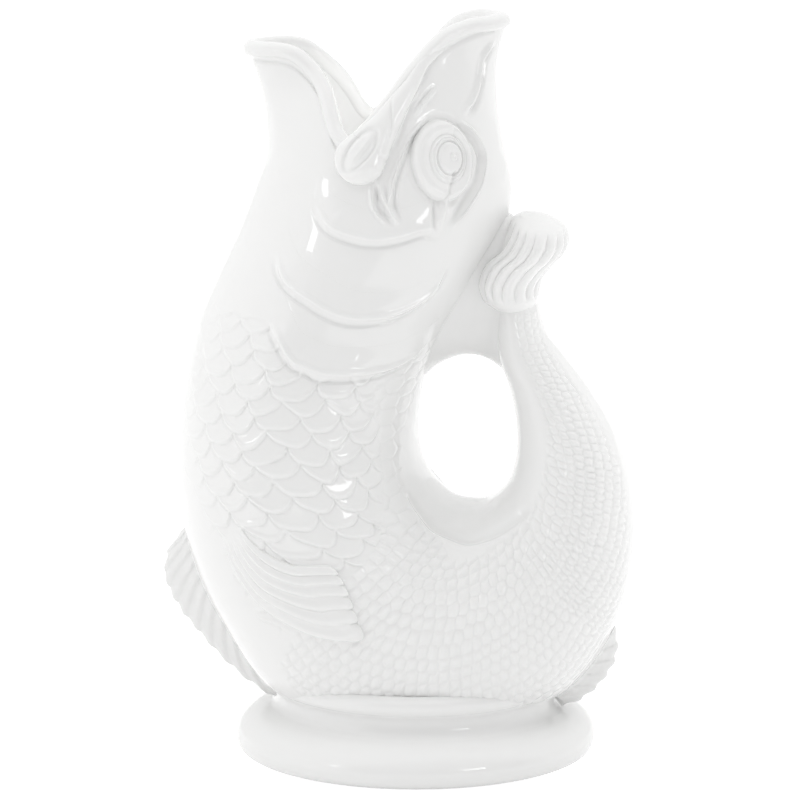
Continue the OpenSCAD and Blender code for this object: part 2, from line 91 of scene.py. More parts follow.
# The mouth's edge: angle and station
MOUTH_EDGE = np.array([
    [0, 0.03], [14, 0.06], [28, 0.1], [41, 0.16], [51, 0.32], [57.5, 0.64], [63, 1.03], [67, 1.42],
    [69.5, 1.88], [72, 2.27], [75.5, 2.5], [79, 2.6], [84, 2.48], [90, 2.23], [96, 1.97],
    [102, 1.7], [108, 1.4], [114, 1.07], [120, 0.75], [126, 0.43], [133, 0.2], [144, 0.1],
    [156, 0.12], [168, 0.14], [180, 0.15]])

# The three gill edges, as stations and angles, and where the scales begin beside the last one
GILL_LINES = [
    [[3.95, 63], [4.5, 74], [4.74, 87], [4.82, 98], [4.76, 108], [4.65, 117], [4.75, 127]],
    [[5.05, 52], [5.7, 66], [6.1, 83], [6.42, 98], [6.5, 111], [6.4, 125], [6.0, 137], [5.3, 138]],
    [[6.5, 68], [6.95, 77.6], [7.32, 86.4], [7.5, 94.4], [7.64, 106], [7.62, 131], [7.43, 148],
     [7.2, 159]]]
SCALES_START = np.array([[6.3, 0], *GILL_LINES[2], [7.0, 180]])
# Height of a gill's step, how far up its cover fades out, and its roll and groove
GILL_STEP = 1.44
GILL_BAND = 12.0
GILL_ROLL = 0.7
GILL_GROOVE = 0.4


# Curves and the skin

def curve(table, s):
    """Catmull-Rom through the rows of a table, straight on past its ends."""
    table = np.asarray(table, float)
    s = np.asarray(s, float)
    padded = np.vstack([2 * table[0] - table[1], table, 2 * table[-1] - table[-2]])
    i = np.clip(np.floor(s).astype(int), 0, len(table) - 2)
    f = (s - i)[..., None]
    a, b, c, d = (padded[i + k] for k in range(4))
    return (2 * b + (c - a) * f + (2 * a - 5 * b + 4 * c - d) * f ** 2
            + (3 * b - a - 3 * c + d) * f ** 3) / 2


def along(table, share):
    return curve(table, np.asarray(share, float) * (len(table) - 1))


def smooth(x, low=0.0, high=1.0):
    k = np.clip((np.asarray(x, float) - low) / (high - low), 0, 1)
    return k * k * (3 - 2 * k)


def hump(x, middle, width):
    """1 at the middle, falling away softly on both sides."""
    return np.exp(-((x - middle) / width) ** 2)


def signed_power(a, power):
    return np.sign(a) * np.abs(a) ** power


def bulge(c, power):
    return signed_power(c, 2 / power)


def section_point(row, v, width, inset=0.0):
    """A point at angle v of a cross-section that has the given row."""
    c, q = np.cos(np.radians(v)), np.sin(np.radians(v))
    fish_height = JUG_HEIGHT - FOOT_HEIGHT
    outer = np.stack([row[..., 0] * BODY_LENGTH, FOOT_HEIGHT + row[..., 1] * fish_height], -1)
    inner = np.stack([row[..., 2] * BODY_LENGTH, FOOT_HEIGHT + row[..., 3] * fish_height], -1)
    span = np.linalg.norm(inner - outer, axis=-1)
    half = row[..., 5] + (row[..., 4] - row[..., 5]) * smooth(c + 0.5)
    power = np.where(c > 0, row[..., 6], row[..., 7])
    shift = (span / 2 - inset) * bulge(c, power) / span
    at = (outer + inner) / 2 - (inner - outer) * shift[..., None]
    return np.stack([at[..., 0], -(half * width / 2 - inset) * bulge(q, power), at[..., 1]], -1)


def skin(s, v, inset=0.0):
    s, v = np.broadcast_arrays(np.asarray(s, float), np.asarray(v, float))
    p = section_point(curve(SECTION_SHARES, s), v, BODY_WIDTH, inset)
    p[..., 2] = np.maximum(p[..., 2], FOOT_HEIGHT + inset)
    return p


def unit(a):
    return a / np.maximum(np.linalg.norm(a, axis=-1, keepdims=True), 1e-9)


NUDGE = 0.05


def skin_down(s, v):
    return (skin(s + NUDGE, v) - skin(s - NUDGE, v)) / (2 * NUDGE)


def skin_round(s, v):
    return (skin(s, np.asarray(v) + 1.0) - skin(s, np.asarray(v) - 1.0)) / 2


def skin_normal(s, v):
    return unit(np.cross(skin_down(s, v), skin_round(s, v)))


def folded(v):
    """The same angle on the near flank, since both flanks are alike."""
    v = np.mod(v, 360)
    return np.where(v > 180, 360 - v, v)


EDGE_CURVE = curve(MOUTH_EDGE, np.linspace(0, len(MOUTH_EDGE) - 1, 1000))


def mouth_edge(v):
    return np.interp(folded(v), EDGE_CURVE[:, 0], EDGE_CURVE[:, 1])


# Length along the skin from the mouth down, on a table that is looked up between its rows
LENGTH_S = np.linspace(-0.5, ROWS, 491)
LENGTH_V = np.linspace(0, 180, 61)


def net_pitch(s):
    """How long a pebble is along the body."""
    return np.interp(s, [11.3, 13, 17, 19.5, 22, 24], [6.0, 3.9, 3.7, 4.2, 4.3, 4.2])


def net_turn(s):
    """How many degrees a pebble takes round the body."""
    return np.interp(s, [11.3, 13.2, 17, 19.5, 24], [4.6, 6.3, 6.7, 11.5, 17.0])


def length_table(pitch=None):
    """Lengths down the skin, or how many pitches fit in them."""
    p = skin(LENGTH_S[:, None], LENGTH_V[None, :])
    steps = np.linalg.norm(np.diff(p, axis=0), axis=-1)
    if pitch is not None:
        steps = steps / pitch((LENGTH_S[1:] + LENGTH_S[:-1]) / 2)[:, None]
    total = np.vstack([np.zeros(len(LENGTH_V)), np.cumsum(steps, axis=0)])
    return total - total[np.searchsorted(LENGTH_S, BELLY)]


LENGTHS = length_table()


def length_down(s, v, table=LENGTHS):
    """Millimetres along the skin from the belly's top, or the sum that another table holds."""
    x = np.clip((s - LENGTH_S[0]) / (LENGTH_S[1] - LENGTH_S[0]), 0, len(LENGTH_S) - 1.001)
    y = np.clip(v / (LENGTH_V[1] - LENGTH_V[0]), 0, len(LENGTH_V) - 1.001)
    i, j = x.astype(int), y.astype(int)
    f, g = x - i, y - j
    return ((table[i, j] * (1 - g) + table[i, j + 1] * g) * (1 - f)
            + (table[i + 1, j] * (1 - g) + table[i + 1, j + 1] * g) * f)


NET_COUNTS = length_table(net_pitch)


def station_at(length, v, s):
    """The station at a length down the skin, found from a first guess."""
    for _ in range(5):
        per_row = (length_down(s + NUDGE, v) - length_down(s - NUDGE, v)) / (2 * NUDGE)
        s = s + (length - length_down(s, v)) / per_row
    return s


def hashed(i, j, salt):
    """A steady number from 0 to 1 for each whole pair."""
    x = np.sin(i * 127.1 + j * 311.7 + salt * 74.7) * 43758.5453
    return x - np.floor(x)


POINTS_AT_ONCE = 20000


class Line:
    """A line on the skin, with each point's distance from it."""

    def __init__(self, places, samples=120):
        self.t = np.linspace(0, 1, samples)
        at = along(places, self.t)
        self.p = skin(at[:, 0], at[:, 1])
        self.n = skin_normal(at[:, 0], at[:, 1])
        self.way = unit(np.gradient(self.p, axis=0))
        self.side = unit(np.cross(self.way, self.n))
        self.length = np.linalg.norm(np.diff(self.p, axis=0), axis=1).sum()

    def near(self, p, reach):
        """Side distance, share along and distance past the ends, for points within reach."""
        flat = p.reshape(-1, 3)
        side = np.full(len(flat), 1e3)
        share = np.zeros(len(flat))
        past = np.full(len(flat), 1e3)
        low, high = self.p.min(0) - reach, self.p.max(0) + reach
        inside = np.flatnonzero(((flat > low) & (flat < high)).all(1))
        for part in np.array_split(inside, len(inside) // POINTS_AT_ONCE + 1):
            if not len(part):
                continue
            away = flat[part][:, None, :] - self.p[None]
            k = (away ** 2).sum(-1).argmin(1)
            near = away[np.arange(len(part)), k]
            ahead = (near * self.way[k]).sum(1)
            step = self.length / (len(self.t) - 1)
            share[part] = np.clip(self.t[k] + ahead / step * (self.t[1] - self.t[0]), 0, 1)
            side[part] = (near * self.side[k]).sum(1)
            ends = np.where(k == 0, -ahead, np.where(k == len(self.t) - 1, ahead, 0))
            past[part] = np.maximum(ends, 0)
        shape = p.shape[:-1]
        return side.reshape(shape), share.reshape(shape), past.reshape(shape)

    def fade(self, share, past, length):
        """Growing from 0 at the line's ends to 1 at a length from them."""
        return smooth(np.minimum(share, 1 - share) * self.length, 0, length) * (past <= 0.01)


# Relief: heights over the skin

# Lapped scales: length, degrees round, first row, middle column, lift, lean and groove
LAP_PITCH = 5.35
LAP_TURN = 18.0
LAP_START = 1.65
LAP_MIDDLE = 93.9
LAP_LIFT = 0.58
LAP_LEAN = 0.16
LAP_GROOVE = 0.16
# Pebbled scales: lift, slope of the rim, middle column, where they turn inward and how evenly they lie
NET_LIFT = 0.42
NET_SLOPE = 1.5
NET_MIDDLE = 116.0
NET_TURNED = 132.0
NET_EVEN = 0.82


def lapped_scales(s, v):
    """Large scales, each lapped over the next row, with a rounded rim and a dished middle."""
    wobble = 0.12 * np.sin(0.9 * s + 0.13 * v) + 0.1 * np.sin(2.3 * s - 0.21 * v)
    m = (length_down(s, v) - LAP_START) / LAP_PITCH + wobble
    c = (v + 2 * m - LAP_MIDDLE) / LAP_TURN + 0.06 * np.sin(1.7 * s + 0.3 * v)

    def scale(i):
        centre = c - 0.5 * np.mod(i, 2) - LAP_LEAN * (m - i - 1)
        k = np.round(centre)
        x = 2 * (centre - k)
        tip = 1 + (1 - np.abs(x) ** 2.1) ** 0.62 + 0.16 * (hashed(i, k, 1) - 0.5)
        inside = (tip - (m - i)) * LAP_PITCH
        f = np.clip((m - i) / tip, 0, 1)
        rim = 0.2 * hump(inside, 1.4, 0.8)
        lift = LAP_LIFT * (1 - 0.4 * np.abs(x) ** 3)
        return lift * f ** 1.2 + rim - 0.2 * np.sin(math.pi * f) * (1 - x * x), inside

    i = np.floor(m)
    upper, inside = scale(i - 1)
    lower, _ = scale(i)
    lower = lower - LAP_GROOVE * hump(np.maximum(-inside, 0), 0, 0.8)
    edge = np.clip(1 - (1 - np.clip(inside / 1.3, 0, 1)) ** 2, 0, 1) ** 0.75
    return np.where(inside > 0, lower + (upper - lower) * edge, lower) - 0.45 * LAP_LIFT


def even_turn(v, power=NET_EVEN):
    """The angle v spread so that equal turns are about equal lengths round the squarish section."""
    c = np.cos(np.radians(v))
    return np.degrees(np.arccos(np.clip(signed_power(c, power), -1, 1)))


def net_scales(s, angle):
    """Small pebbled scales in staggered columns, with soft grooves between them."""
    pitch, turn = net_pitch(s), net_turn(s)
    v = even_turn(angle)
    squeeze = np.interp(s, [11.6, 13.2], [0.42, 1.0])
    past = np.maximum(v - NET_TURNED, 0)
    ahead, behind = (even_turn(np.clip(v + way, 0, 180), 1 / NET_EVEN) for way in (1, -1))
    around = np.linalg.norm(skin(s, ahead) - skin(s, behind), axis=-1) / 2 * turn
    around = around / np.where(past > 0, squeeze, 1)
    c = (v - past * (1 - squeeze) - NET_MIDDLE) / turn + 0.12 * np.sin(0.8 * s + 0.06 * v)
    near = []
    for dk in (-1, 0, 1):
        k = np.round(c) + dk
        column = NET_MIDDLE + k * turn
        column = column + np.maximum(column - NET_TURNED, 0) * (1 / squeeze - 1)
        column = even_turn(np.clip(column, 0, 180), 1 / NET_EVEN)
        m = length_down(s, column, NET_COUNTS) + 0.5 * np.mod(k, 2)
        for di in (-1, 0, 1):
            i = np.round(m) + di
            x = (c - k - 0.26 * (hashed(i, k, 2) - 0.5)) * 0.87
            y = m - i - 0.3 * (hashed(i, k, 3) - 0.5)
            near.append(np.stack([x, y], -1))
    near = np.stack(near, 0)
    squares = (near ** 2).sum(-1)
    first = squares.argmin(0)
    nearest = np.take_along_axis(near, first[None, ..., None], 0)[0]
    least = squares.min(0)
    border = np.full(s.shape, 1e9)
    for pebble, square in zip(near, squares):
        gap = np.linalg.norm(pebble - nearest, axis=-1)
        to_border = (square - least) / (2 * np.maximum(gap, 1e-6))
        border = np.where(gap > 1e-6, np.minimum(border, to_border), border)
    cell = np.minimum(pitch, around)
    full = np.clip(np.minimum(border, 0.6 - np.sqrt(least)) * cell / NET_SLOPE, 0, 1)
    size = np.clip(cell / 3.2, 0, 1)
    return size * NET_LIFT * (2 * full - full * full - 0.8 + 0.15 * (1 - 4 * least))


def scale_zones(s, v):
    """How strongly each kind of scale shows."""
    below = smooth(s - np.interp(v, SCALES_START[:, 1], SCALES_START[:, 0]), -0.02, 0.06)
    border = np.interp(s, [7, 8, 9, 10, 11, 11.8, 12.2, 12.8, 13.6, 15, 16.5],
                       [126, 131, 140, 143, 136, 125, 112, 56, 40, 30, 22])
    lapped = below * smooth(border - v, -1.5, 1.5) * smooth(v, 15, 80) * (1 - smooth(s, 12.1, 12.6))
    smooth_breast = np.interp(v, [0, 45, 58, 66], [8.6, 9.6, 10.9, 12.5])
    lapped = lapped * (1 - smooth(s - smooth_breast, -0.8, 0.6) * smooth(70 - v, 0, 12))
    soft = np.interp(s, [12.2, 13.6], [1.5, 8])
    net = below * smooth((v - border) / soft, -1, 1)
    inner = np.interp(s, [7.5, 8.5, 9, 10, 11, 12.7, 13.6, 14.5, 16, 17.4, 19, 20.2, 22, 24],
                      [176, 165, 161, 158, 154, 149, 148, 133, 128, 122, 110, 98, 90, 86])
    net = net * smooth(inner - v, -3, 3)
    net = net * (1 - 0.4 * smooth(s, 22.3, 23.4)) * (0.65 + 0.35 * smooth(s, 10.3, 12))
    return lapped, net


GILLS = [Line(places) for places in GILL_LINES]


def gill_relief(p):
    """The three stepped edges, each a soft roll that fades up into the cover above it."""
    height = np.zeros(p.shape[:-1])
    for line in GILLS:
        side, share, past = line.near(p, 16.0)
        above = -side
        step = smooth(above, -0.9, 1.3)
        roll = GILL_ROLL * hump(above, 1.7, 1.0)
        fade = 1 - smooth(above, 2.0, GILL_BAND)
        groove = GILL_GROOVE * hump(above, -1.3, 0.6)
        edge = GILL_STEP * step * fade + roll * step - groove
        height += line.fade(share, past, 12) * edge * (np.abs(side) < 15)
    return height


# How much the outside of the tail draws in under its scales
TAIL_DRAW = 0.35


def relief(s, v, p, bare=True):
    """The height of the carving. The bare shell draws back under the gill covers."""
    v = folded(v)
    near = p.copy()
    near[..., 1] = -np.abs(near[..., 1])
    height = gill_relief(near)
    if s.max() > THROAT:
        lapped_share, net_share = scale_zones(s, v)
        height += lapped_share * lapped_scales(s, v) + net_share * net_scales(s, v)
        height += SADDLE.height(near) + bend_crown(near)
        height -= TAIL_DRAW * smooth(s, 16.5, 18) * smooth(60 - v, 0, 60)
    if s.min() < THROAT + 0.5:
        height += head_relief(s, v, near)
    return height - cover_dip(s, v) if bare else height


def surface(s, v, inset=0.0, bare=True):
    """Points of the carved skin over a grid of places."""
    s, v = np.broadcast_arrays(np.asarray(s, float), np.asarray(v, float))
    base = skin(s, v)
    normal = skin_normal(s, v)
    return base + normal * (relief(s, v, base, bare) - inset)[..., None]


# Meshes

def add_object(name, data):
    obj = bpy.data.objects.new(name, data)
    bpy.context.scene.collection.objects.link(obj)
    return obj


def hand(mirror):
    return "right" if mirror else "left"


def make_object(name, points, faces, normals, soft, mirror=False):
    """A closed mesh. Faces marked soft take the vertex normals, the others their own."""
    if mirror:
        points, normals = points * [1, -1, 1], normals * [1, -1, 1]
        faces = [list(face)[::-1] for face in faces]
    mesh = bpy.data.meshes.new(name)
    mesh.from_pydata((points * MM).tolist(), [], faces if isinstance(faces, list) else faces.tolist())
    mesh.update()
    mesh.shade_smooth()
    corner = np.zeros(len(mesh.loops), np.int32)
    mesh.loops.foreach_get("vertex_index", corner)
    sizes = np.zeros(len(mesh.polygons), np.int32)
    mesh.polygons.foreach_get("loop_total", sizes)
    flat = np.zeros(len(mesh.polygons) * 3, np.float32)
    mesh.polygons.foreach_get("normal", flat)
    own = np.repeat(flat.reshape(-1, 3), sizes, axis=0)
    kept = np.repeat(soft, sizes)[:, None]
    mesh.normals_split_custom_set(np.where(kept, normals[corner], own).tolist())
    return add_object(name, mesh)


def ring_normals(grid, closed_rows=False):
    """Normals of a grid whose columns close into rings, by central differences."""
    around = np.roll(grid, -1, 1) - np.roll(grid, 1, 1)
    down = np.roll(grid, -1, 0) - np.roll(grid, 1, 0)
    if not closed_rows:
        down[0] = grid[1] - grid[0]
        down[-1] = grid[-1] - grid[-2]
    return unit(np.cross(down, around))


def grid_faces(m, n, closed_rows):
    """Four-sided faces of m rings with n points each."""
    row = np.arange(m if closed_rows else m - 1)[:, None]
    column = np.arange(n)[None, :]
    below = (row + 1) % m
    beside = (column + 1) % n
    corners = [row * n + column, below * n + column, below * n + beside, row * n + beside]
    return np.stack(corners, -1).reshape(-1, 4)


def end_caps(m, n):
    """The faces that close the first and the last of m rings."""
    return [list(range(n)), [(m - 1) * n + j for j in range(n)][::-1]]


def sheet(top, bottom):
    """Points, normals, faces and soft faces of a closed sheet between a top and a bottom grid."""
    m, n = top.shape[:2]
    normal = unit(np.cross(np.gradient(top, axis=0), np.gradient(top, axis=1)))
    grid = np.arange(m * n).reshape(m, n)
    upper = np.stack([grid[:-1, :-1], grid[1:, :-1], grid[1:, 1:], grid[:-1, 1:]], -1).reshape(-1, 4)
    lower = upper[:, ::-1] + m * n
    rim = np.concatenate([grid[0, :-1], grid[:-1, -1], grid[-1, :0:-1], grid[:0:-1, 0]])
    after = np.roll(rim, -1)
    walls = np.stack([rim, after, after + m * n, rim + m * n], -1)
    points = np.concatenate([top, bottom]).reshape(-1, 3)
    normals = np.concatenate([normal, -normal]).reshape(-1, 3)
    faces = np.concatenate([upper, lower, walls])
    if (normal * (top - bottom)).sum() < 0:
        faces = faces[:, ::-1]
        normals = -normals
    soft = np.concatenate([np.ones(2 * len(upper), bool), np.zeros(len(walls), bool)])
    return points, normals, faces, soft


def shell(name, outer, outer_normals, inner):
    """A wall between an outer and an inner stack of rings, closed at both ends."""
    m, n = outer.shape[:2]
    inner_normals = -ring_normals(inner)
    points = np.concatenate([outer, inner[::-1]]).reshape(-1, 3)
    normals = np.concatenate([outer_normals, inner_normals[::-1]]).reshape(-1, 3)
    total = m + len(inner)
    faces = grid_faces(total, n, True)
    row = np.repeat(np.arange(total), n)
    soft = (row != m - 1) & (row != total - 1)
    return make_object(name, points, faces, normals, soft)


def outward(points, normals, faces, caps):
    """The normals, and the faces with their caps, turned round where they look inward."""
    away = points - points.mean(0)
    a, b, c, d = (away[faces[:, k]] for k in range(4))
    volume = (a * np.cross(b, c)).sum() + (a * np.cross(c, d)).sum()
    faces = faces.tolist() + caps
    if volume < 0:
        return -normals, [face[::-1] for face in faces]
    return normals, faces


def stack(name, grid, mirror=False):
    """A closed skin over rings, with a flat cap on the first ring and on the last."""
    m, n = grid.shape[:2]
    points, normals = grid.reshape(-1, 3), ring_normals(grid).reshape(-1, 3)
    normals, faces = outward(points, normals, grid_faces(m, n, False), end_caps(m, n))
    soft = np.arange(len(faces)) < len(faces) - 2
    return make_object(name, points, faces, normals, soft, mirror)


def hoop(name, grid, soft):
    """A closed skin over rings that lead round to the first one again."""
    m, n = grid.shape[:2]
    points, normals = grid.reshape(-1, 3), ring_normals(grid, True).reshape(-1, 3)
    normals, faces = outward(points, normals, grid_faces(m, n, True), [])
    return make_object(name, points, faces, normals, soft)


COLUMNS = 576
ANGLES = np.arange(COLUMNS) * 360 / COLUMNS


def carved(stations):
    """Carved rings and their normals, from stations with one row more at each end."""
    grid = surface(stations, ANGLES[None, :])
    return grid[1:-1], ring_normals(grid)[1:-1]


def extended(low, high, steps):
    """Equal stations from low to high, and one more past each end."""
    step = (high - low) / steps
    return np.linspace(low - step, high + step, steps + 3)[:, None]


def mouth_stations(steps):
    """Rows from the mouth's edge to the collar, and one more before the edge."""
    edge = mouth_edge(ANGLES)[None, :]
    share = np.linspace(-1 / steps, 1, steps + 2)[:, None]
    return edge + (COLLAR - edge) * share


# Rows of points on the outside of each part of the body, and columns round one flank
MOUTH_ROWS = 76
COLLAR_ROWS = 48
THROAT_ROWS = 84
BELLY_ROWS = 250
BASE_ROWS = 290
TAIL_ROWS = 270
HALF_COLUMNS = 300
HALF_INNER = 24


def make_throat():
    outer, normals = carved(extended(THROAT, BELLY, THROAT_ROWS))
    inner = skin(np.linspace(THROAT, BELLY, 9)[:, None], ANGLES[None, :], WALL)
    return shell("throat", outer, normals, inner)


def half_shell(name, low, high, steps, mirror):
    """One flank of the body from the throat's side round to the inner side, and its inner wall."""
    step = 180 / HALF_COLUMNS
    v = np.linspace(-step, 180 + step, HALF_COLUMNS + 3)[None, :]
    stations = extended(low, high, steps)
    grid = surface(stations, v)
    down = grid[2:, 1:-1] - grid[:-2, 1:-1]
    around = grid[1:-1, 2:] - grid[1:-1, :-2]
    normals = unit(np.cross(down, around))
    outer = grid[1:-1, 1:-1]
    inner = skin(stations[1:-1], np.linspace(180, 0, HALF_INNER)[None, :], WALL)
    points = np.concatenate([outer, inner], 1)
    m, n = points.shape[:2]
    normals = np.concatenate([normals, np.zeros(inner.shape)], 1).reshape(-1, 3)
    points = points.reshape(-1, 3)
    faces = grid_faces(m, n, False).tolist() + end_caps(m, n)
    soft = np.append(np.tile(np.arange(n) < HALF_COLUMNS, m - 1), [False, False])
    return make_object(hand(mirror) + "_" + name, points, faces, normals, soft, mirror)


def head_stations(mouth_rows, collar_rows):
    """Stations from the mouth's edge to the throat: the given rows, and rows of equal stations."""
    level = np.broadcast_to(collar_rows[:, None], (len(collar_rows), COLUMNS))
    return np.vstack([mouth_rows, level])


def make_head():
    collar = extended(COLLAR, THROAT, COLLAR_ROWS)[2:, 0]
    outer, normals = carved(head_stations(mouth_stations(MOUTH_ROWS), collar))
    inner_rows = head_stations(mouth_stations(16)[1:], np.linspace(COLLAR, THROAT, 8)[1:])
    inner = skin(inner_rows, ANGLES[None, :], WALL)
    return shell("head", outer, normals, inner)


LIP_INSIDE = 0.4
LIP_STEPS = 720


def make_lip():
    """The rolled bead: an oval swept round the mouth's edge."""
    dense = np.concatenate([EDGE_CURVE[:-1], (EDGE_CURVE[::-1] * [-1, 1] + [360, 0])[:-1]])
    p = (skin(dense[:, 1], dense[:, 0]) + skin(dense[:, 1], dense[:, 0], WALL)) / 2
    lengths = np.linalg.norm(np.roll(p, -1, 0) - p, axis=1)
    total = np.concatenate([[0], np.cumsum(lengths)])
    at = np.linspace(0, total[-1], LIP_STEPS, endpoint=False)
    k = np.interp(at, total, np.arange(len(total)))
    wrap = np.vstack([dense, [[360, dense[0, 1]]]])
    v = np.interp(k, np.arange(len(wrap)), wrap[:, 0])
    s = np.interp(k, np.arange(len(wrap)), wrap[:, 1])
    middle = (skin(s, v) + skin(s, v, WALL)) / 2
    way = unit(np.roll(middle, -3, 0) - np.roll(middle, 3, 0))
    normal = skin_normal(s, v)
    out = unit(np.cross(np.cross(way, normal), way))
    up = np.cross(out, way)
    a = np.radians(np.arange(0, 360, 12))
    half = np.where(np.cos(a) > 0, LIP_THICKNESS, WALL + LIP_INSIDE) / 2
    grid = (middle[:, None] + out[:, None] * (half * np.cos(a))[None, :, None]
            + up[:, None] * (LIP_HEIGHT / 2 * np.sin(a))[None, :, None])
    return hoop("mouth_lip", grid, np.ones(LIP_STEPS * len(a), bool))


# The head's carving

# Places, ridge height and width, groove depth and width, and the groove's distance from the ridge
CREASES = [
    ([[0.5, 166], [0.83, 156.5], [1.3, 154.5], [1.72, 149.7], [2.05, 140]], 1.3, 1.1, 1.1, 1.1, -1.9),
    ([[2.1, 136], [2.45, 146], [2.75, 150.5], [3.1, 151.5], [3.67, 145.5], [4.07, 138.9],
      [4.68, 129.4]], 1.4, 0.7, 1.3, 1.3, 2.0),
    ([[1.95, 123.2], [2.23, 115.2], [2.43, 110.4], [2.9, 104.1], [3.14, 102.1], [3.54, 99.9],
      [4.04, 100.4], [4.5, 106.6]], 1.2, 0.65, 0.8, 0.9, -1.5),
    ([[1.2, 119.9], [1.49, 115.9], [1.77, 111.4]], 0.9, 0.55, 0.6, 0.6, 1.1),
    ([[1.34, 128.2], [1.63, 120.9], [2.0, 112.9]], 1.0, 0.6, 0.6, 0.6, 1.2),
    ([[3.42, 90.6], [3.74, 91.4], [4.04, 92.9], [4.29, 96.9], [4.46, 102.1]], 1.0, 0.6, 1.0, 0.8, -1.3),
    ([[3.3, 94.5], [3.74, 96], [4.16, 100.5], [4.48, 106.1]], 1.2, 0.7, 0.7, 0.8, 1.6),
    ([[3.7, 127.5], [4.0, 125.5], [4.35, 124.5], [4.8, 124.8]], 1.5, 1.4, 0.0, 1.0, 0.0),
    ([[3.85, 119.2], [4.1, 120.3], [4.4, 121.2], [4.75, 122.4]], 0.0, 1.0, 1.1, 0.8, 0.0)]
LIP_LINE = [[0.2, 160], [0.2, 146], [0.34, 134], [0.67, 122.9], [1.11, 118.4], [1.56, 112.9],
            [1.98, 107.9], [2.37, 103.6], [2.76, 99.6]]
SADDLE_LINE = [[10.7, 154.7], [11.4, 153.5], [12.4, 151.2], [13.5, 147.5], [14.4, 143.4],
               [15.7, 134.9], [16.5, 128.9], [17.3, 121.7], [18.1, 110.4]]
CROWN_LINE = [[11.2, 119.7], [12.0, 118.7], [13.4, 116.7], [15.1, 110.7], [16.2, 99.4], [17.6, 84.6],
              [18.7, 66.3], [19.5, 60.8]]
CROWN_RISE = 0.8
CROWN_WIDTH = 6.0


class Crease:
    """A ridge along a line on the skin, with a groove beside it."""

    def __init__(self, places, ridge, ridge_width, groove, groove_width, offset):
        self.line = Line(places)
        self.ridge, self.ridge_width = ridge, ridge_width
        self.groove, self.groove_width, self.offset = groove, groove_width, offset

    def height(self, p):
        side, share, past = self.line.near(p, 7.0)
        ridge = self.ridge * hump(side, 0, self.ridge_width)
        groove = self.groove * hump(side, self.offset, self.groove_width)
        return self.line.fade(share, past, 6) * (ridge - groove)


HEAD_CREASES = [Crease(*row) for row in CREASES]
SADDLE = Crease(SADDLE_LINE, 0.6, 1.6, 1.0, 2.2, -3.3)
LIP_EDGE = Line(LIP_LINE)
CROWN = Line(CROWN_LINE)


def bend_crown(p):
    """A soft ridge along the flank, round the bend."""
    side, share, past = CROWN.near(p, 16.0)
    return CROWN_RISE * CROWN.fade(share, past, 20) * hump(side, 0, CROWN_WIDTH)


# The band along the upper lip, and the groove before it
LIP_BAND_RISE = 0.9
LIP_BAND_GROOVE = 0.4
# Depth of the grooves round the eye and along the mouth's edge
EYE_GROOVE = 1.0
EDGE_GROOVE = 0.6


def head_relief(s, v, p):
    """Folds of the face, the band along the upper lip and the groove round the eye."""
    height = sum(crease.height(p) for crease in HEAD_CREASES)
    side, share, past = LIP_EDGE.near(p, 9.0)
    band = LIP_BAND_RISE * smooth(side, -0.7, 0.5) * (1 - smooth(side, 6, 9)) * smooth(1 - share, 0, 0.15)
    groove = LIP_BAND_GROOVE * hump(side, -1.2, 0.8) * smooth(1 - share, 0, 0.1)
    height += (band - groove) * (past <= 0.01)
    x, y = EYE_FRAME.flat(p)
    e = np.sqrt((x / EYE_WIDE) ** 2 + (y / EYE_TALL) ** 2)
    close = (p[..., 1] < 0) & (np.abs(x) < 30) & (np.abs(y) < 30)
    height -= close * EYE_GROOVE * hump(e * EYE_WIDE, 1.05 * EYE_WIDE, 1.2)
    height -= EDGE_GROOVE * hump(edge_reach(s, v), 3.6, 0.8) * (1 - smooth(v, 75, 95))
    return height


def edge_reach(s, v):
    """Millimetres down from the mouth's edge."""
    return length_down(s, v) - length_down(mouth_edge(v), v)


# The eye

# Half axes, the height of the sunken rim, and how far the pupil sits off the middle
EYE_WIDE = 10.4
EYE_TALL = 13.2
EYE_ROOT = -2.2
IRIS_SHIFT = (3.6, 0.9)
# Share of the eye's half axes, and the height there
EYE_RINGS = np.array([
    [0, 2.1], [0.05, 2.1], [0.085, 1.55], [0.11, 1.35], [0.2, 1.6], [0.32, 1.7], [0.38, 1.4], [0.42, 0.5],
    [0.455, 1.35], [0.49, 1.5], [0.52, 1.1], [0.55, 1.45], [0.58, 1.55], [0.615, 1.05], [0.66, 1.5],
    [0.76, 2.05], [0.86, 2.1], [0.93, 1.5], [0.97, 0.8], [1.0, -0.2], [1.04, -1.2]])
# Depth, start and end of each slit in the eye's rim
EYE_SLITS = [(0.9, (3.4, -4.6), (-0.6, -12.5)), (0.5, (4.2, 7.5), (4.4, 12.0))]


class Frame:
    """Flat axes on the skin at a place: across to the right, and up."""

    def __init__(self, s, v):
        self.s, self.v = s, v
        self.middle = skin(s, v)
        self.normal = skin_normal(s, v)
        up = np.array([0, 0, 1.0])
        self.up = unit(up - self.normal * (up * self.normal).sum())
        self.across = np.cross(self.up, self.normal)
        jacobian = np.array([[(skin_down(s, v) * a).sum(), (skin_round(s, v) * a).sum()]
                             for a in (self.across, self.up)])
        self.inverse = np.linalg.inv(jacobian)

    def flat(self, p):
        away = p - self.middle
        return (away * self.across).sum(-1), (away * self.up).sum(-1)

    def place(self, x, y):
        """The station and angle that lie at x and y."""
        s, v = np.full(x.shape, self.s), np.full(x.shape, self.v)
        for _ in range(6):
            at = self.flat(skin(s, v))
            step = np.stack([x - at[0], y - at[1]], -1) @ self.inverse.T
            s, v = s + step[..., 0], v + step[..., 1]
        return s, v


EYE_FRAME = Frame(2.97, 125.7)


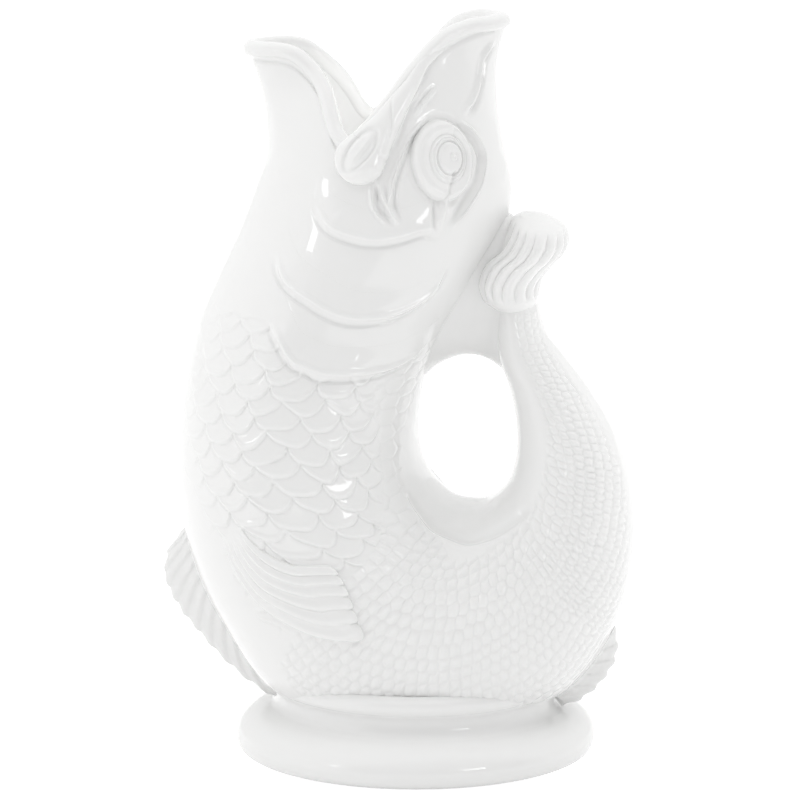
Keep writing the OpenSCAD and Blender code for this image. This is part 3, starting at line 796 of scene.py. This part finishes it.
def eye_slit(x, y, start, end):
    """How deep a place lies in the slit between two points of the eye's flat axes, from 0 to 1."""
    start, end = np.array(start), np.array(end)
    way = end - start
    length = np.hypot(*way)
    ahead = ((x - start[0]) * way[0] + (y - start[1]) * way[1]) / length
    aside = ((x - start[0]) * way[1] - (y - start[1]) * way[0]) / length
    past = np.maximum(np.maximum(-ahead, ahead - length), 0)
    return hump(np.hypot(aside, past), 0, 0.7)


def make_eye(mirror):
    """Rings round the pupil, which sits off the middle, with slits in the rim."""
    turns = np.radians(np.arange(0, 360, 2.5))
    e = np.append(np.linspace(0.012, 1.04, 110), 1.05)[:, None]
    shift = np.maximum(1 - e, 0)
    x = EYE_WIDE * e * np.cos(turns) + IRIS_SHIFT[0] * shift
    y = EYE_TALL * e * np.sin(turns) + IRIS_SHIFT[1] * shift
    s, v = EYE_FRAME.place(x, y)
    rise = np.interp(e, EYE_RINGS[:, 0], EYE_RINGS[:, 1])
    softening = np.array([1, 2, 3, 2, 1]) / 9
    rise = np.convolve(np.pad(rise[:, 0], 2, "edge"), softening, "valid")[:, None]
    rise[-1] = EYE_ROOT
    rise = rise - sum(depth * eye_slit(x, y, start, end) for depth, start, end in EYE_SLITS)
    grid = skin(s, v) + skin_normal(s, v) * rise[..., None]
    return stack(hand(mirror) + "_eye", grid, mirror)


# The rolled lobe at the corner of the mouth

LOBE_PLACES = [[0.4, 130], [0.74, 120.7], [1.26, 113.9], [1.7, 106.4], [2.14, 98.9], [2.51, 91.6],
               [2.86, 86]]
LOBE_WIDE = [1.2, 1.8, 2.6, 3.6, 4.9, 6.9, 8.7]
LOBE_RISE = [0.5, 1.5, 2.5, 3.4, 4.3, 5.0, 5.3]
LOBE_DEPTH = 2.5
LOBE_START = 0.12
# Centre and half axes of the oval carved on the lobe, along it and across
LOBE_OVAL = (-3.0, 0.6, 8.6, 3.5)


def lobe_carving(x, y):
    """The oval, the ridge and groove inside it, and the long groove behind."""
    centre_x, centre_y, half_x, half_y = LOBE_OVAL
    x = x - centre_x
    oval = np.sqrt((x / half_x) ** 2 + ((y - centre_y) / half_y) ** 2)
    inside = smooth(1 - oval, 0, 0.5)
    carve = -0.8 * hump(oval, 1, 0.6 / half_y)
    carve += 0.4 * hump(y, 0.2, 0.7) * inside
    carve -= 0.3 * hump(y, -1.2, 0.6) * inside
    behind = smooth(-x, -2, 6) * smooth(26 + x, 0, 8)
    return carve - 0.4 * hump(y, 0.02 * x ** 2 - 6.2, 0.6) * behind


def make_lobe(mirror):
    """A carved roll along the mouth's edge that widens to a round end."""
    line = Line(LOBE_PLACES, 241)
    wide = np.interp(line.t, np.linspace(0, 1, len(LOBE_WIDE)), LOBE_WIDE)
    rise = np.interp(line.t, np.linspace(0, 1, len(LOBE_RISE)), LOBE_RISE)
    start = np.sqrt(1 - (1 - np.clip(line.t / LOBE_START, 0, 1)) ** 2)
    wide = wide * (0.1 + 0.9 * start)
    rise = rise * start - 1.2 * (1 - start)
    tail = np.sin(np.linspace(0, math.pi / 2, 40))[1:-1]
    middle = np.concatenate([line.p, line.p[-1] + line.way[-1] * (tail * wide[-1])[:, None]])
    side = np.concatenate([line.side, np.repeat(line.side[-1:], len(tail), 0)])
    out = np.concatenate([line.n, np.repeat(line.n[-1:], len(tail), 0)])
    shrink = np.sqrt(np.clip(1 - tail ** 2, 0, 1))
    wide = np.concatenate([wide, wide[-1] * shrink])
    rise = np.concatenate([rise, rise[-1] * shrink ** 0.8])
    length = np.concatenate([(line.t - 1) * line.length, tail * LOBE_WIDE[-1]])
    a = np.radians(np.arange(0, 360, 3))
    across = wide[:, None] * signed_power(np.cos(a), 0.9)
    top = np.where(np.sin(a) > 0, rise[:, None], LOBE_DEPTH) * signed_power(np.sin(a), 0.8)
    top = top + lobe_carving(length[:, None], across) * np.clip(np.sin(a), 0, 1) ** 0.5
    grid = middle[:, None] + side[:, None] * across[..., None] + out[:, None] * top[..., None]
    return stack(hand(mirror) + "_mouth_lobe", grid, mirror)


# Gill covers: bands of the carved skin along each stepped edge

# How far a cover stands proud, reaches up and down from its edge and roots in the wall
COVER_LIFT = 0.03
COVER_UP = 11.0
COVER_DOWN = 2.2
COVER_ROOT = 1.5
COVER_ROWS = 40
COVER_COLUMNS = 220


def cover_span(k):
    places = np.array(GILL_LINES[k], float)
    return places[0, 1] + 2, places[-1, 1] - 2


def cover_line(k, v):
    table = along(GILL_LINES[k], np.linspace(0, 1, 200))
    return np.interp(v, table[:, 1], table[:, 0])


def cover_dip(s, v):
    """How far the shell draws back under the covers."""
    dip = np.zeros(s.shape)
    for k in range(len(GILL_LINES)):
        low, high = cover_span(k)
        reach = length_down(cover_line(k, v), v) - length_down(s, v)
        inside = np.minimum(COVER_UP - reach, reach + COVER_DOWN)
        ends = np.minimum(v - low, high - v) * 0.75
        dip = np.maximum(dip, 0.5 * smooth(np.minimum(inside, ends), 0, 2.0))
    return dip


def make_covers(mirror):
    """The three bands as one piece, each a sheet rooted in the wall."""
    parts = []
    start = 0
    for k in range(len(GILL_LINES)):
        low, high = cover_span(k)
        v = np.broadcast_to(np.linspace(low, high, COVER_COLUMNS), (COVER_ROWS, COVER_COLUMNS))
        middle = cover_line(k, v)
        reach = np.linspace(COVER_UP, -COVER_DOWN, COVER_ROWS)[:, None]
        s = station_at(length_down(middle, v) - reach, v, middle - reach / 12)
        top = surface(s, v, -COVER_LIFT, False)
        bottom = skin(s, v) - skin_normal(s, v) * COVER_ROOT
        points, normals, faces, soft = sheet(top, bottom)
        parts.append((points, normals, faces + start, soft))
        start += len(points)
    points, normals, faces, soft = (np.concatenate(part) for part in zip(*parts))
    return make_object(hand(mirror) + "_gill_covers", points, faces, normals, soft, mirror)


# Fins

BREAST_TOP = [[10.3, 69.5], [10.63, 73.6], [10.85, 77.1], [11.11, 82.1], [11.36, 87.1], [11.61, 92.6],
              [11.86, 99.9]]
BREAST_BOTTOM = [[10.2, 57], [10.76, 60.3], [11.13, 61.6], [11.57, 64.3], [12.0, 67.5], [12.5, 76.4],
                 [12.95, 84.1], [13.4, 90.2]]
BREAST_RIBS = 6
# How far the fin stands out and roots in the wall
BREAST_RISE = 2.2
BREAST_ROOT = 2.2
# Where a rib is highest, as a share of its width, and how far the fin's edges run on past its lines
BREAST_CREST = 0.72
BREAST_RIM = 0.04
# How the lines run on past the fin's tip, in stations and degrees
BREAST_ON = (1.2, 14)
LINE_SAMPLES = 300


def evenly(line, share):
    """The places at shares of a line's length on the skin."""
    table = along(line, np.linspace(0, 1, LINE_SAMPLES))
    p = skin(table[:, 0], table[:, 1])
    run = np.concatenate([[0], np.cumsum(np.linalg.norm(np.diff(p, axis=0), axis=1))])
    at = np.interp(np.clip(share, 0, 1), np.linspace(0, 1, LINE_SAMPLES), np.arange(LINE_SAMPLES))
    even = np.linspace(0, 1, LINE_SAMPLES)
    spread = [np.interp(even, run / run[-1], table[:, k]) for k in range(2)]
    return np.stack([np.interp(at, np.arange(LINE_SAMPLES), column) for column in spread], -1)


def make_breast_fin(mirror):
    """Ribs that fan out between two lines on the flank."""
    t = np.linspace(0, 1.03, 170)[:, None]
    u = np.linspace(-BREAST_RIM, 1 + BREAST_RIM, 200)[None, :]
    past = np.maximum(t - 1, 0) * BREAST_ON
    first = evenly(BREAST_TOP, t[:, 0]) + past
    last = evenly(BREAST_BOTTOM, t[:, 0]) + past
    bow = 3.0 * np.sin(math.pi * np.clip(u, 0, 1)) * smooth(t, 0.6, 1.0)
    s = first[:, None, 0] * (1 - u) + last[:, None, 0] * u
    v = first[:, None, 1] * (1 - u) + last[:, None, 1] * u + bow
    phase = np.clip(u, 0, 1) * BREAST_RIBS
    f = phase - np.floor(np.clip(phase, 0, BREAST_RIBS - 1e-6))
    climb = 0.25 + 0.75 * smooth(f, 0.0, BREAST_CREST) ** 1.2
    drop = np.cos(np.clip((f - BREAST_CREST) / (1 - BREAST_CREST), 0, 1) * math.pi / 2) ** 0.7
    rib = np.where(f < BREAST_CREST, climb, drop)
    edge = smooth(np.minimum(u, 1 - u) + BREAST_RIM, 0.0, 0.05)
    tip = 1 - 0.02 * np.abs(2 * f - 1.2) ** 2
    end = np.sqrt(np.clip(1 - (np.clip(t / tip - 0.965, 0, 1) / 0.05) ** 2, 0, 1))
    grow = smooth(t, 0.0, 0.4)
    rise = BREAST_RISE * (0.42 + 0.58 * t) * grow * (0.6 + 0.4 * rib) * edge * end - 1.2 * (1 - edge * end)
    rise = rise - 0.9 * (1 - smooth(t, 0.02, 0.14))
    base = skin(s, v)
    normal = skin_normal(s, v)
    points, normals, faces, soft = sheet(base + normal * rise[..., None], base - normal * BREAST_ROOT)
    return make_object(hand(mirror) + "_breast_fin", points, faces, normals, soft, mirror)


# Share of the blade's reach, from its root out, and how thick the blade is there
BLADE_SHARES = [-0.25, 0.0, 0.15, 0.5, 0.85, 1.0]
BLADE_THICKNESS = [1.9, 1.5, 1.0, 0.66, 0.5, 0.35]
FIN_THICKNESS = 7.0
# How soon a rib falls away from its crest, as a share of its width
RIB_CREST = 0.3


def middle_fin(name, low, high, reach, reaches, ribs, slant):
    """A ribbed blade down the middle of the body. Its ribs lean as they go out."""
    t = np.linspace(0, 1, 60 * ribs // 2)
    s = low + (high - low) * t
    foot = section_point(curve(SECTION_SHARES, s), 0.0, BODY_WIDTH)
    inner = section_point(curve(SECTION_SHARES, s), 180.0, BODY_WIDTH)
    out = unit(foot - inner)
    flow = unit(np.gradient(foot, axis=0))
    normal = unit(out - flow * (out * flow).sum(-1, keepdims=True))
    far = reach * np.interp(t, np.linspace(0, 1, len(reaches)), reaches)
    a = np.radians(np.arange(0, 360, 5))
    x = (np.cos(a) * 0.625 + 0.375)[None, :]
    thick = np.interp(x, BLADE_SHARES, BLADE_THICKNESS)
    phase = ribs * (t[:, None] - slant * np.clip(x, 0, 1))
    f = phase - np.floor(phase)
    drop = np.cos(np.clip(f / RIB_CREST, 0, 1) * math.pi / 2) ** 0.8
    rib = np.where(f < RIB_CREST, drop, smooth(f, RIB_CREST, 1.0) ** 1.4)
    ends = smooth(np.minimum(t, 1 - t), 0, 0.05)[:, None]
    wide = FIN_THICKNESS / 2 * thick * (0.84 + 0.16 * rib) * (0.3 + 0.7 * ends)
    depth = np.maximum(x * far[:, None], -WALL / 2) + 0.7 * (rib - 0.5) * smooth(x, 0.7, 1) * ends
    across = signed_power(np.sin(a), 0.55) * wide
    grid = foot[:, None] + normal[:, None] * depth[..., None] + across[..., None] * np.array([0, 1, 0])
    return stack(name, grid)


# The tail's fan, the bridge and the foot

# Edges in x and z and half width, the same for both halves, of oval sections
FAN_SHARES = np.array([[*row, row[-1], 2, 2] for row in [
    [0.255, 0.562, 0.190, 0.562, 0.50], [0.262, 0.574, 0.164, 0.574, 0.70],
    [0.266, 0.585, 0.142, 0.586, 0.84], [0.268, 0.598, 0.130, 0.604, 0.90],
    [0.275, 0.612, 0.129, 0.620, 0.93], [0.295, 0.630, 0.143, 0.643, 0.96],
    [0.317, 0.646, 0.178, 0.664, 0.98], [0.330, 0.664, 0.194, 0.684, 0.93],
    [0.324, 0.684, 0.206, 0.700, 0.76], [0.298, 0.698, 0.226, 0.708, 0.42]]])
FAN_WIDTH = 46.0
FAN_RIBS = 17
FAN_GROOVE = 1.3


def make_fan():
    """The fluted end of the tail, domed on top."""
    t = np.linspace(0, 1, 160)
    rows = along(FAN_SHARES, t)
    v = np.arange(0, 360, 0.75)[None, :]
    flute = np.abs(np.sin(np.radians(v * FAN_RIBS / 2) + 0.5 * np.sin(np.radians(3 * v))
                          + 0.8 * t[:, None] ** 2)) ** 0.8
    strong = smooth(t, 0.2, 0.36) * (1 - smooth(t, 0.8, 0.93))
    groove = FAN_GROOVE * strong[:, None] * (1 - flute)
    grid = section_point(rows[:, None, :], np.broadcast_to(v, (len(t), v.shape[1])), FAN_WIDTH, groove)
    middle = grid[-1].mean(0)
    k = np.linspace(0, 1, 24)[1:-1, None, None]
    crown = middle + (grid[-1] - middle) * (1 - k)
    crown = crown + np.array([0, 0, 1.2]) * np.sin(k * math.pi / 2)
    return stack("tail_fan", np.concatenate([grid, crown]))


BRIDGE_SHARES = np.array([
    [0.010, 0.455, -0.020, 0.560, 1.50, 1.50, 2, 2], [0.045, 0.478, 0.065, 0.625, 1.20, 1.30, 2, 2],
    [0.084, 0.492, 0.116, 0.665, 1.05, 1.30, 2, 2.3], [0.123, 0.496, 0.160, 0.693, 1.00, 1.40, 2, 2.5],
    [0.161, 0.489, 0.205, 0.704, 1.10, 1.40, 2, 2.5], [0.194, 0.472, 0.230, 0.660, 1.35, 1.40, 2, 2],
    [0.213, 0.454, 0.239, 0.583, 1.60, 1.60, 2, 2]])
BRIDGE_WIDTH = 21.0


def make_bridge():
    """The web of clay between the tail and the neck."""
    rows = along(BRIDGE_SHARES, np.linspace(0, 1, 60))[:, None, :]
    v = np.broadcast_to(np.arange(0, 360, 4), (len(rows), 90))
    return stack("tail_bridge", section_point(rows, v, BRIDGE_WIDTH))


# Radius and height, from the floor up the outside to the bead, and back down inside
FOOT_PROFILE = [
    (57.0, 0.0), (58.9, 0.3), (60.2, 1.7), (60.7, 3.8), (60.76, 5.6), (60.2, 7.6), (59.0, 9.4),
    (57.4, 11.0), (55.6, 12.3), (53.9, 13.2), (52.2, 13.8), (50.4, 14.3), (48.8, 15.0), (47.7, 16.2),
    (47.2, 17.8), (47.1, 19.4), (47.5, 20.8), (48.3, 21.8), (49.2, 22.5), (49.8, 23.4), (50.0, 24.6),
    (49.9, 25.8), (49.3, 26.9), (48.3, 27.7), (47.0, 28.2), (45.4, 28.2), (43.8, 27.3)]
FOOT_INSIDE = [(41.5, 27.3), (38.5, 22.0), (36.8, 22.0), (36.8, 19.75), (43.1, 10.75), (53.05, 6.7)]


def make_foot():
    """The round foot with its bead, turned on the jug's axis and hollow underneath."""
    outside = along(FOOT_PROFILE, np.linspace(0, 1, 4 * len(FOOT_PROFILE) - 3))
    profile = np.concatenate([outside, FOOT_INSIDE])
    profile[:, 1] = np.maximum(profile[:, 1], 0)
    a = np.radians(np.arange(0, 360, 1.5))
    radius, height = profile[:, 0, None], profile[:, 1, None]
    grid = np.stack([radius * np.cos(a), radius * np.sin(a), height + 0 * a], -1)
    row = np.repeat(np.arange(len(profile)), len(a))
    return hoop("foot", grid, row < len(profile) - len(FOOT_INSIDE) - 1)


# Glaze and pieces

GLAZE_THIN = (0.865, 0.865, 0.858, 1)
GLAZE_FULL = (0.885, 0.885, 0.88, 1)
GLAZE_INDEX = 1.52


def feed(tree, node, inputs):
    """Gives inputs of a node their values: numbers, colours or other nodes' outputs."""
    for name, value in inputs.items():
        if isinstance(value, bpy.types.NodeSocket):
            tree.links.new(value, node.inputs[name])
        else:
            node.inputs[name].default_value = value


def add_node(tree, kind, inputs, **settings):
    node = tree.nodes.new("ShaderNode" + kind)
    for name, value in settings.items():
        setattr(node, name, value)
    feed(tree, node, inputs)
    return node.outputs


def map_range(tree, value, source, target, eased=False):
    """Carries one span of values over to another."""
    spans = {"From Min": source[0], "From Max": source[1], "To Min": target[0], "To Max": target[1]}
    kind = "SMOOTHSTEP" if eased else "LINEAR"
    return add_node(tree, "MapRange", {"Value": value, **spans}, interpolation_type=kind)["Result"]


def noise(tree, place, scale, detail):
    return add_node(tree, "TexNoise", {"Vector": place, "Scale": scale, "Detail": detail})["Fac"]


def glaze_material():
    """White glaze with painted shade that darkens its grooves, soft clouds and the faintest ripple."""
    material = bpy.data.materials.new(SLOT)
    material.use_nodes = True
    tree = material.node_tree
    place = add_node(tree, "TexCoord", {})["Object"]
    cloud = noise(tree, place, 22, 4)
    tint = add_node(tree, "Mix", {0: cloud, 6: GLAZE_THIN, 7: GLAZE_FULL}, data_type="RGBA")[2]
    # Painted shade: the glaze colour is darkened where the surface is hollow (low pointiness), standing in
    # for the shade that falls in grooves and creases
    edges = add_node(tree, "NewGeometry", {})["Pointiness"]
    groove = map_range(tree, edges, (0.44, 0.5), (0.95, 1.0))
    tint_with_painted_shade = add_node(tree, "VectorMath", {0: tint, "Scale": groove}, operation="SCALE")["Vector"]
    ripple = {"Strength": 0.1, "Distance": 0.0004, "Height": noise(tree, place, 160, 2)}
    feed(tree, tree.nodes["Principled BSDF"], {
        "Base Color": tint_with_painted_shade,
        "IOR": GLAZE_INDEX,
        "Roughness": map_range(tree, cloud, (0, 1), (0.03, 0.07)),
        "Normal": add_node(tree, "Bump", ripple)["Normal"]})
    return material


GLAZE = glaze_material()


def fit(obj, node):
    """Glazes a piece that stands for a CAD node, and sets it on the jug."""
    obj.data.materials.append(GLAZE)
    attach(obj, "root")
    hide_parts(node)


# How far the tail runs on inside its fan, in stations
TAIL_END = 0.2
# Shares of the fins' reach, evenly from their upper ends down
BELLY_FIN_REACHES = [0.1, 0.71, 0.97, 1, 0.95, 0.85, 0.72, 0.55, 0.39, 0.22, 0.07]
BACK_FIN_REACHES = [0.6, 0.9, 1, 1, 0.9, 0.6, 0.02]

fit(make_head(), "head_shell")
fit(make_throat(), "throat_shell")
for mirror in (False, True):
    fit(half_shell("belly", BELLY, BASE, BELLY_ROWS, mirror), "belly_shell")
    fit(half_shell("base", BASE, TAIL, BASE_ROWS, mirror), "base_shell")
    fit(half_shell("tail", TAIL, ROWS + TAIL_END, TAIL_ROWS, mirror), "tail_shell")
fit(make_lip(), "mouth_lip")
for mirror in (False, True):
    fit(make_lobe(mirror), hand(mirror) + "_mouth_lobe")
    fit(make_eye(mirror), hand(mirror) + "_eye")
    fit(make_covers(mirror), hand(mirror) + "_gill_covers")
    fit(make_breast_fin(mirror), hand(mirror) + "_breast_fin")
fit(middle_fin("belly_fin", 10.7, 13.6, 13.9, BELLY_FIN_REACHES, 13, 0.17), "belly_fin")
fit(middle_fin("back_fin", 15.9, 17.05, 6.4, BACK_FIN_REACHES, 6, 0.15), "back_fin")
fit(make_fan(), "tail_fan")
fit(make_bridge(), "tail_bridge")
fit(make_foot(), "foot_ring")


# Studio

# How white the floor is as it bounces light, and its paint and its glow where it is seen
FLOOR_BOUNCE = 1.0
FLOOR_SHADE = 0.35
FLOOR_WHITE = 0.85
FLOOR_HALF = 6.0
# How bright the room is at its sides, behind the camera, overhead and behind the jug
ROOM_LIGHT = 1.1
ROOM_SHADE = 0.34
ROOM_TOP = 1.38
ROOM_BACK = 0.72
# How bright the part behind the camera is where the glaze mirrors it, and which way it lies
ROOM_DARK = 0.3
ROOM_FRONT = (0.4, -0.91, 0.08)
# The softboxes: name, azimuth, elevation, width, height and power
SOFTBOXES = [("softbox_left", -45, 14, 0.14, 0.16, 0.5), ("softbox_right", 45, 12, 0.4, 0.2, 1.4)]
SOFTBOX_AWAY = 1.6
SOFTBOX_AIM = (0, 0, 0.12)
MOUTH_MIDDLE = (-0.012, -0.008, 0.205)
MOUTH_RADIUS = 0.012
MOUTH_POWER = 0.02
# The camera stands where the photograph's did
CAMERA_AZIMUTH = 8.0
CAMERA_ELEVATION = 11.8
CAMERA_AWAY = 1.9
CAMERA_AIM = (-0.0054, 0, 0.1187)
CAMERA_LENS = 255.2


def seen_rays(tree):
    """1 for the rays that look at a backdrop, 0 for those that carry light on."""
    path = add_node(tree, "LightPath", {})
    value = path["Is Camera Ray"]
    for name in ("Is Glossy Ray", "Is Transmission Ray"):
        value = add_node(tree, "Math", {0: value, 1: path[name]}, operation="MAXIMUM")["Value"]
    return value


def blend(tree, share, first, second):
    """One value turning into another."""
    return add_node(tree, "Mix", {0: share, 2: first, 3: second}, data_type="FLOAT")[0]


def make_floor():
    """A white floor that looks plain to the camera, bounces light and keeps the jug's shadow."""
    mesh = bpy.data.meshes.new("floor")
    corners = [(x * FLOOR_HALF, y * FLOOR_HALF, 0) for x, y in ((-1, -1), (1, -1), (1, 1), (-1, 1))]
    mesh.from_pydata(corners, [], [(0, 1, 2, 3)])
    material = bpy.data.materials.new("floor_white")
    material.use_nodes = True
    tree = material.node_tree
    tree.nodes.clear()
    seen = seen_rays(tree)
    white = map_range(tree, seen, (0, 1), (FLOOR_BOUNCE, FLOOR_SHADE))
    paper = add_node(tree, "BsdfDiffuse", {"Color": white})["BSDF"]
    strength = map_range(tree, seen, (0, 1), (0.0, FLOOR_WHITE))
    glow = add_node(tree, "Emission", {"Strength": strength})["Emission"]
    both = add_node(tree, "AddShader", {0: paper, 1: glow})["Shader"]
    add_node(tree, "OutputMaterial", {"Surface": both})
    mesh.materials.append(material)
    add_object("floor", mesh)


def make_world():
    """A white room, darker behind the camera and dimmer behind the jug, with a brighter ceiling."""
    world = bpy.data.worlds.new("studio")
    bpy.context.scene.world = world
    world.use_nodes = True
    tree = world.node_tree
    place = add_node(tree, "TexCoord", {})["Generated"]
    facing = add_node(tree, "VectorMath", {0: place, 1: ROOM_FRONT}, operation="DOT_PRODUCT")["Value"]
    height = add_node(tree, "SeparateXYZ", {"Vector": place})["Z"]
    front = map_range(tree, facing, (0.3, 0.65), (0, 1), True)
    top = map_range(tree, height, (0.5, 0.85), (0, 1), True)
    walls = map_range(tree, facing, (-0.85, -0.35), (ROOM_BACK, ROOM_LIGHT), True)
    light = blend(tree, top, blend(tree, front, walls, ROOM_SHADE), ROOM_TOP)
    look = map_range(tree, front, (0, 1), (1.0, ROOM_DARK))
    strength = blend(tree, seen_rays(tree), light, look)
    feed(tree, tree.nodes["Background"], {"Color": (1, 1, 1, 1), "Strength": strength})


def stand(obj, aim, azimuth, elevation, away):
    """Faces a place on the jug from a distance. Azimuth 0 is in front, and 90 is at the tail."""
    azimuth, elevation = math.radians(azimuth), math.radians(elevation)
    level = math.cos(elevation)
    way = Vector((math.sin(azimuth) * level, -math.cos(azimuth) * level, math.sin(elevation)))
    obj.location = Vector(aim) + way * away
    obj.rotation_euler = way.to_track_quat("Z", "Y").to_euler()


def make_softbox(name, azimuth, elevation, width, height, power):
    light = bpy.data.lights.new(name, "AREA")
    light.shape = "RECTANGLE"
    light.size, light.size_y = width, height
    light.energy = power
    stand(add_object(name, light), SOFTBOX_AIM, azimuth, elevation, SOFTBOX_AWAY)


def make_mouth_lamp():
    """A small soft lamp that fills the hollow of the mouth."""
    light = bpy.data.lights.new("mouth_fill", "POINT")
    light.energy = MOUTH_POWER
    light.shadow_soft_size = MOUTH_RADIUS
    lamp = add_object("mouth_fill", light)
    lamp.location = MOUTH_MIDDLE
    lamp.visible_camera = False
    lamp.visible_glossy = False


def make_camera():
    data = bpy.data.cameras.new("camera")
    data.sensor_width = 36
    data.lens = CAMERA_LENS
    camera = add_object("camera", data)
    stand(camera, CAMERA_AIM, CAMERA_AZIMUTH, CAMERA_ELEVATION, CAMERA_AWAY)
    bpy.context.scene.camera = camera


make_floor()
make_world()
for softbox in SOFTBOXES:
    make_softbox(*softbox)
make_mouth_lamp()
make_camera()
bpy.context.scene.view_settings.view_transform = "Standard"
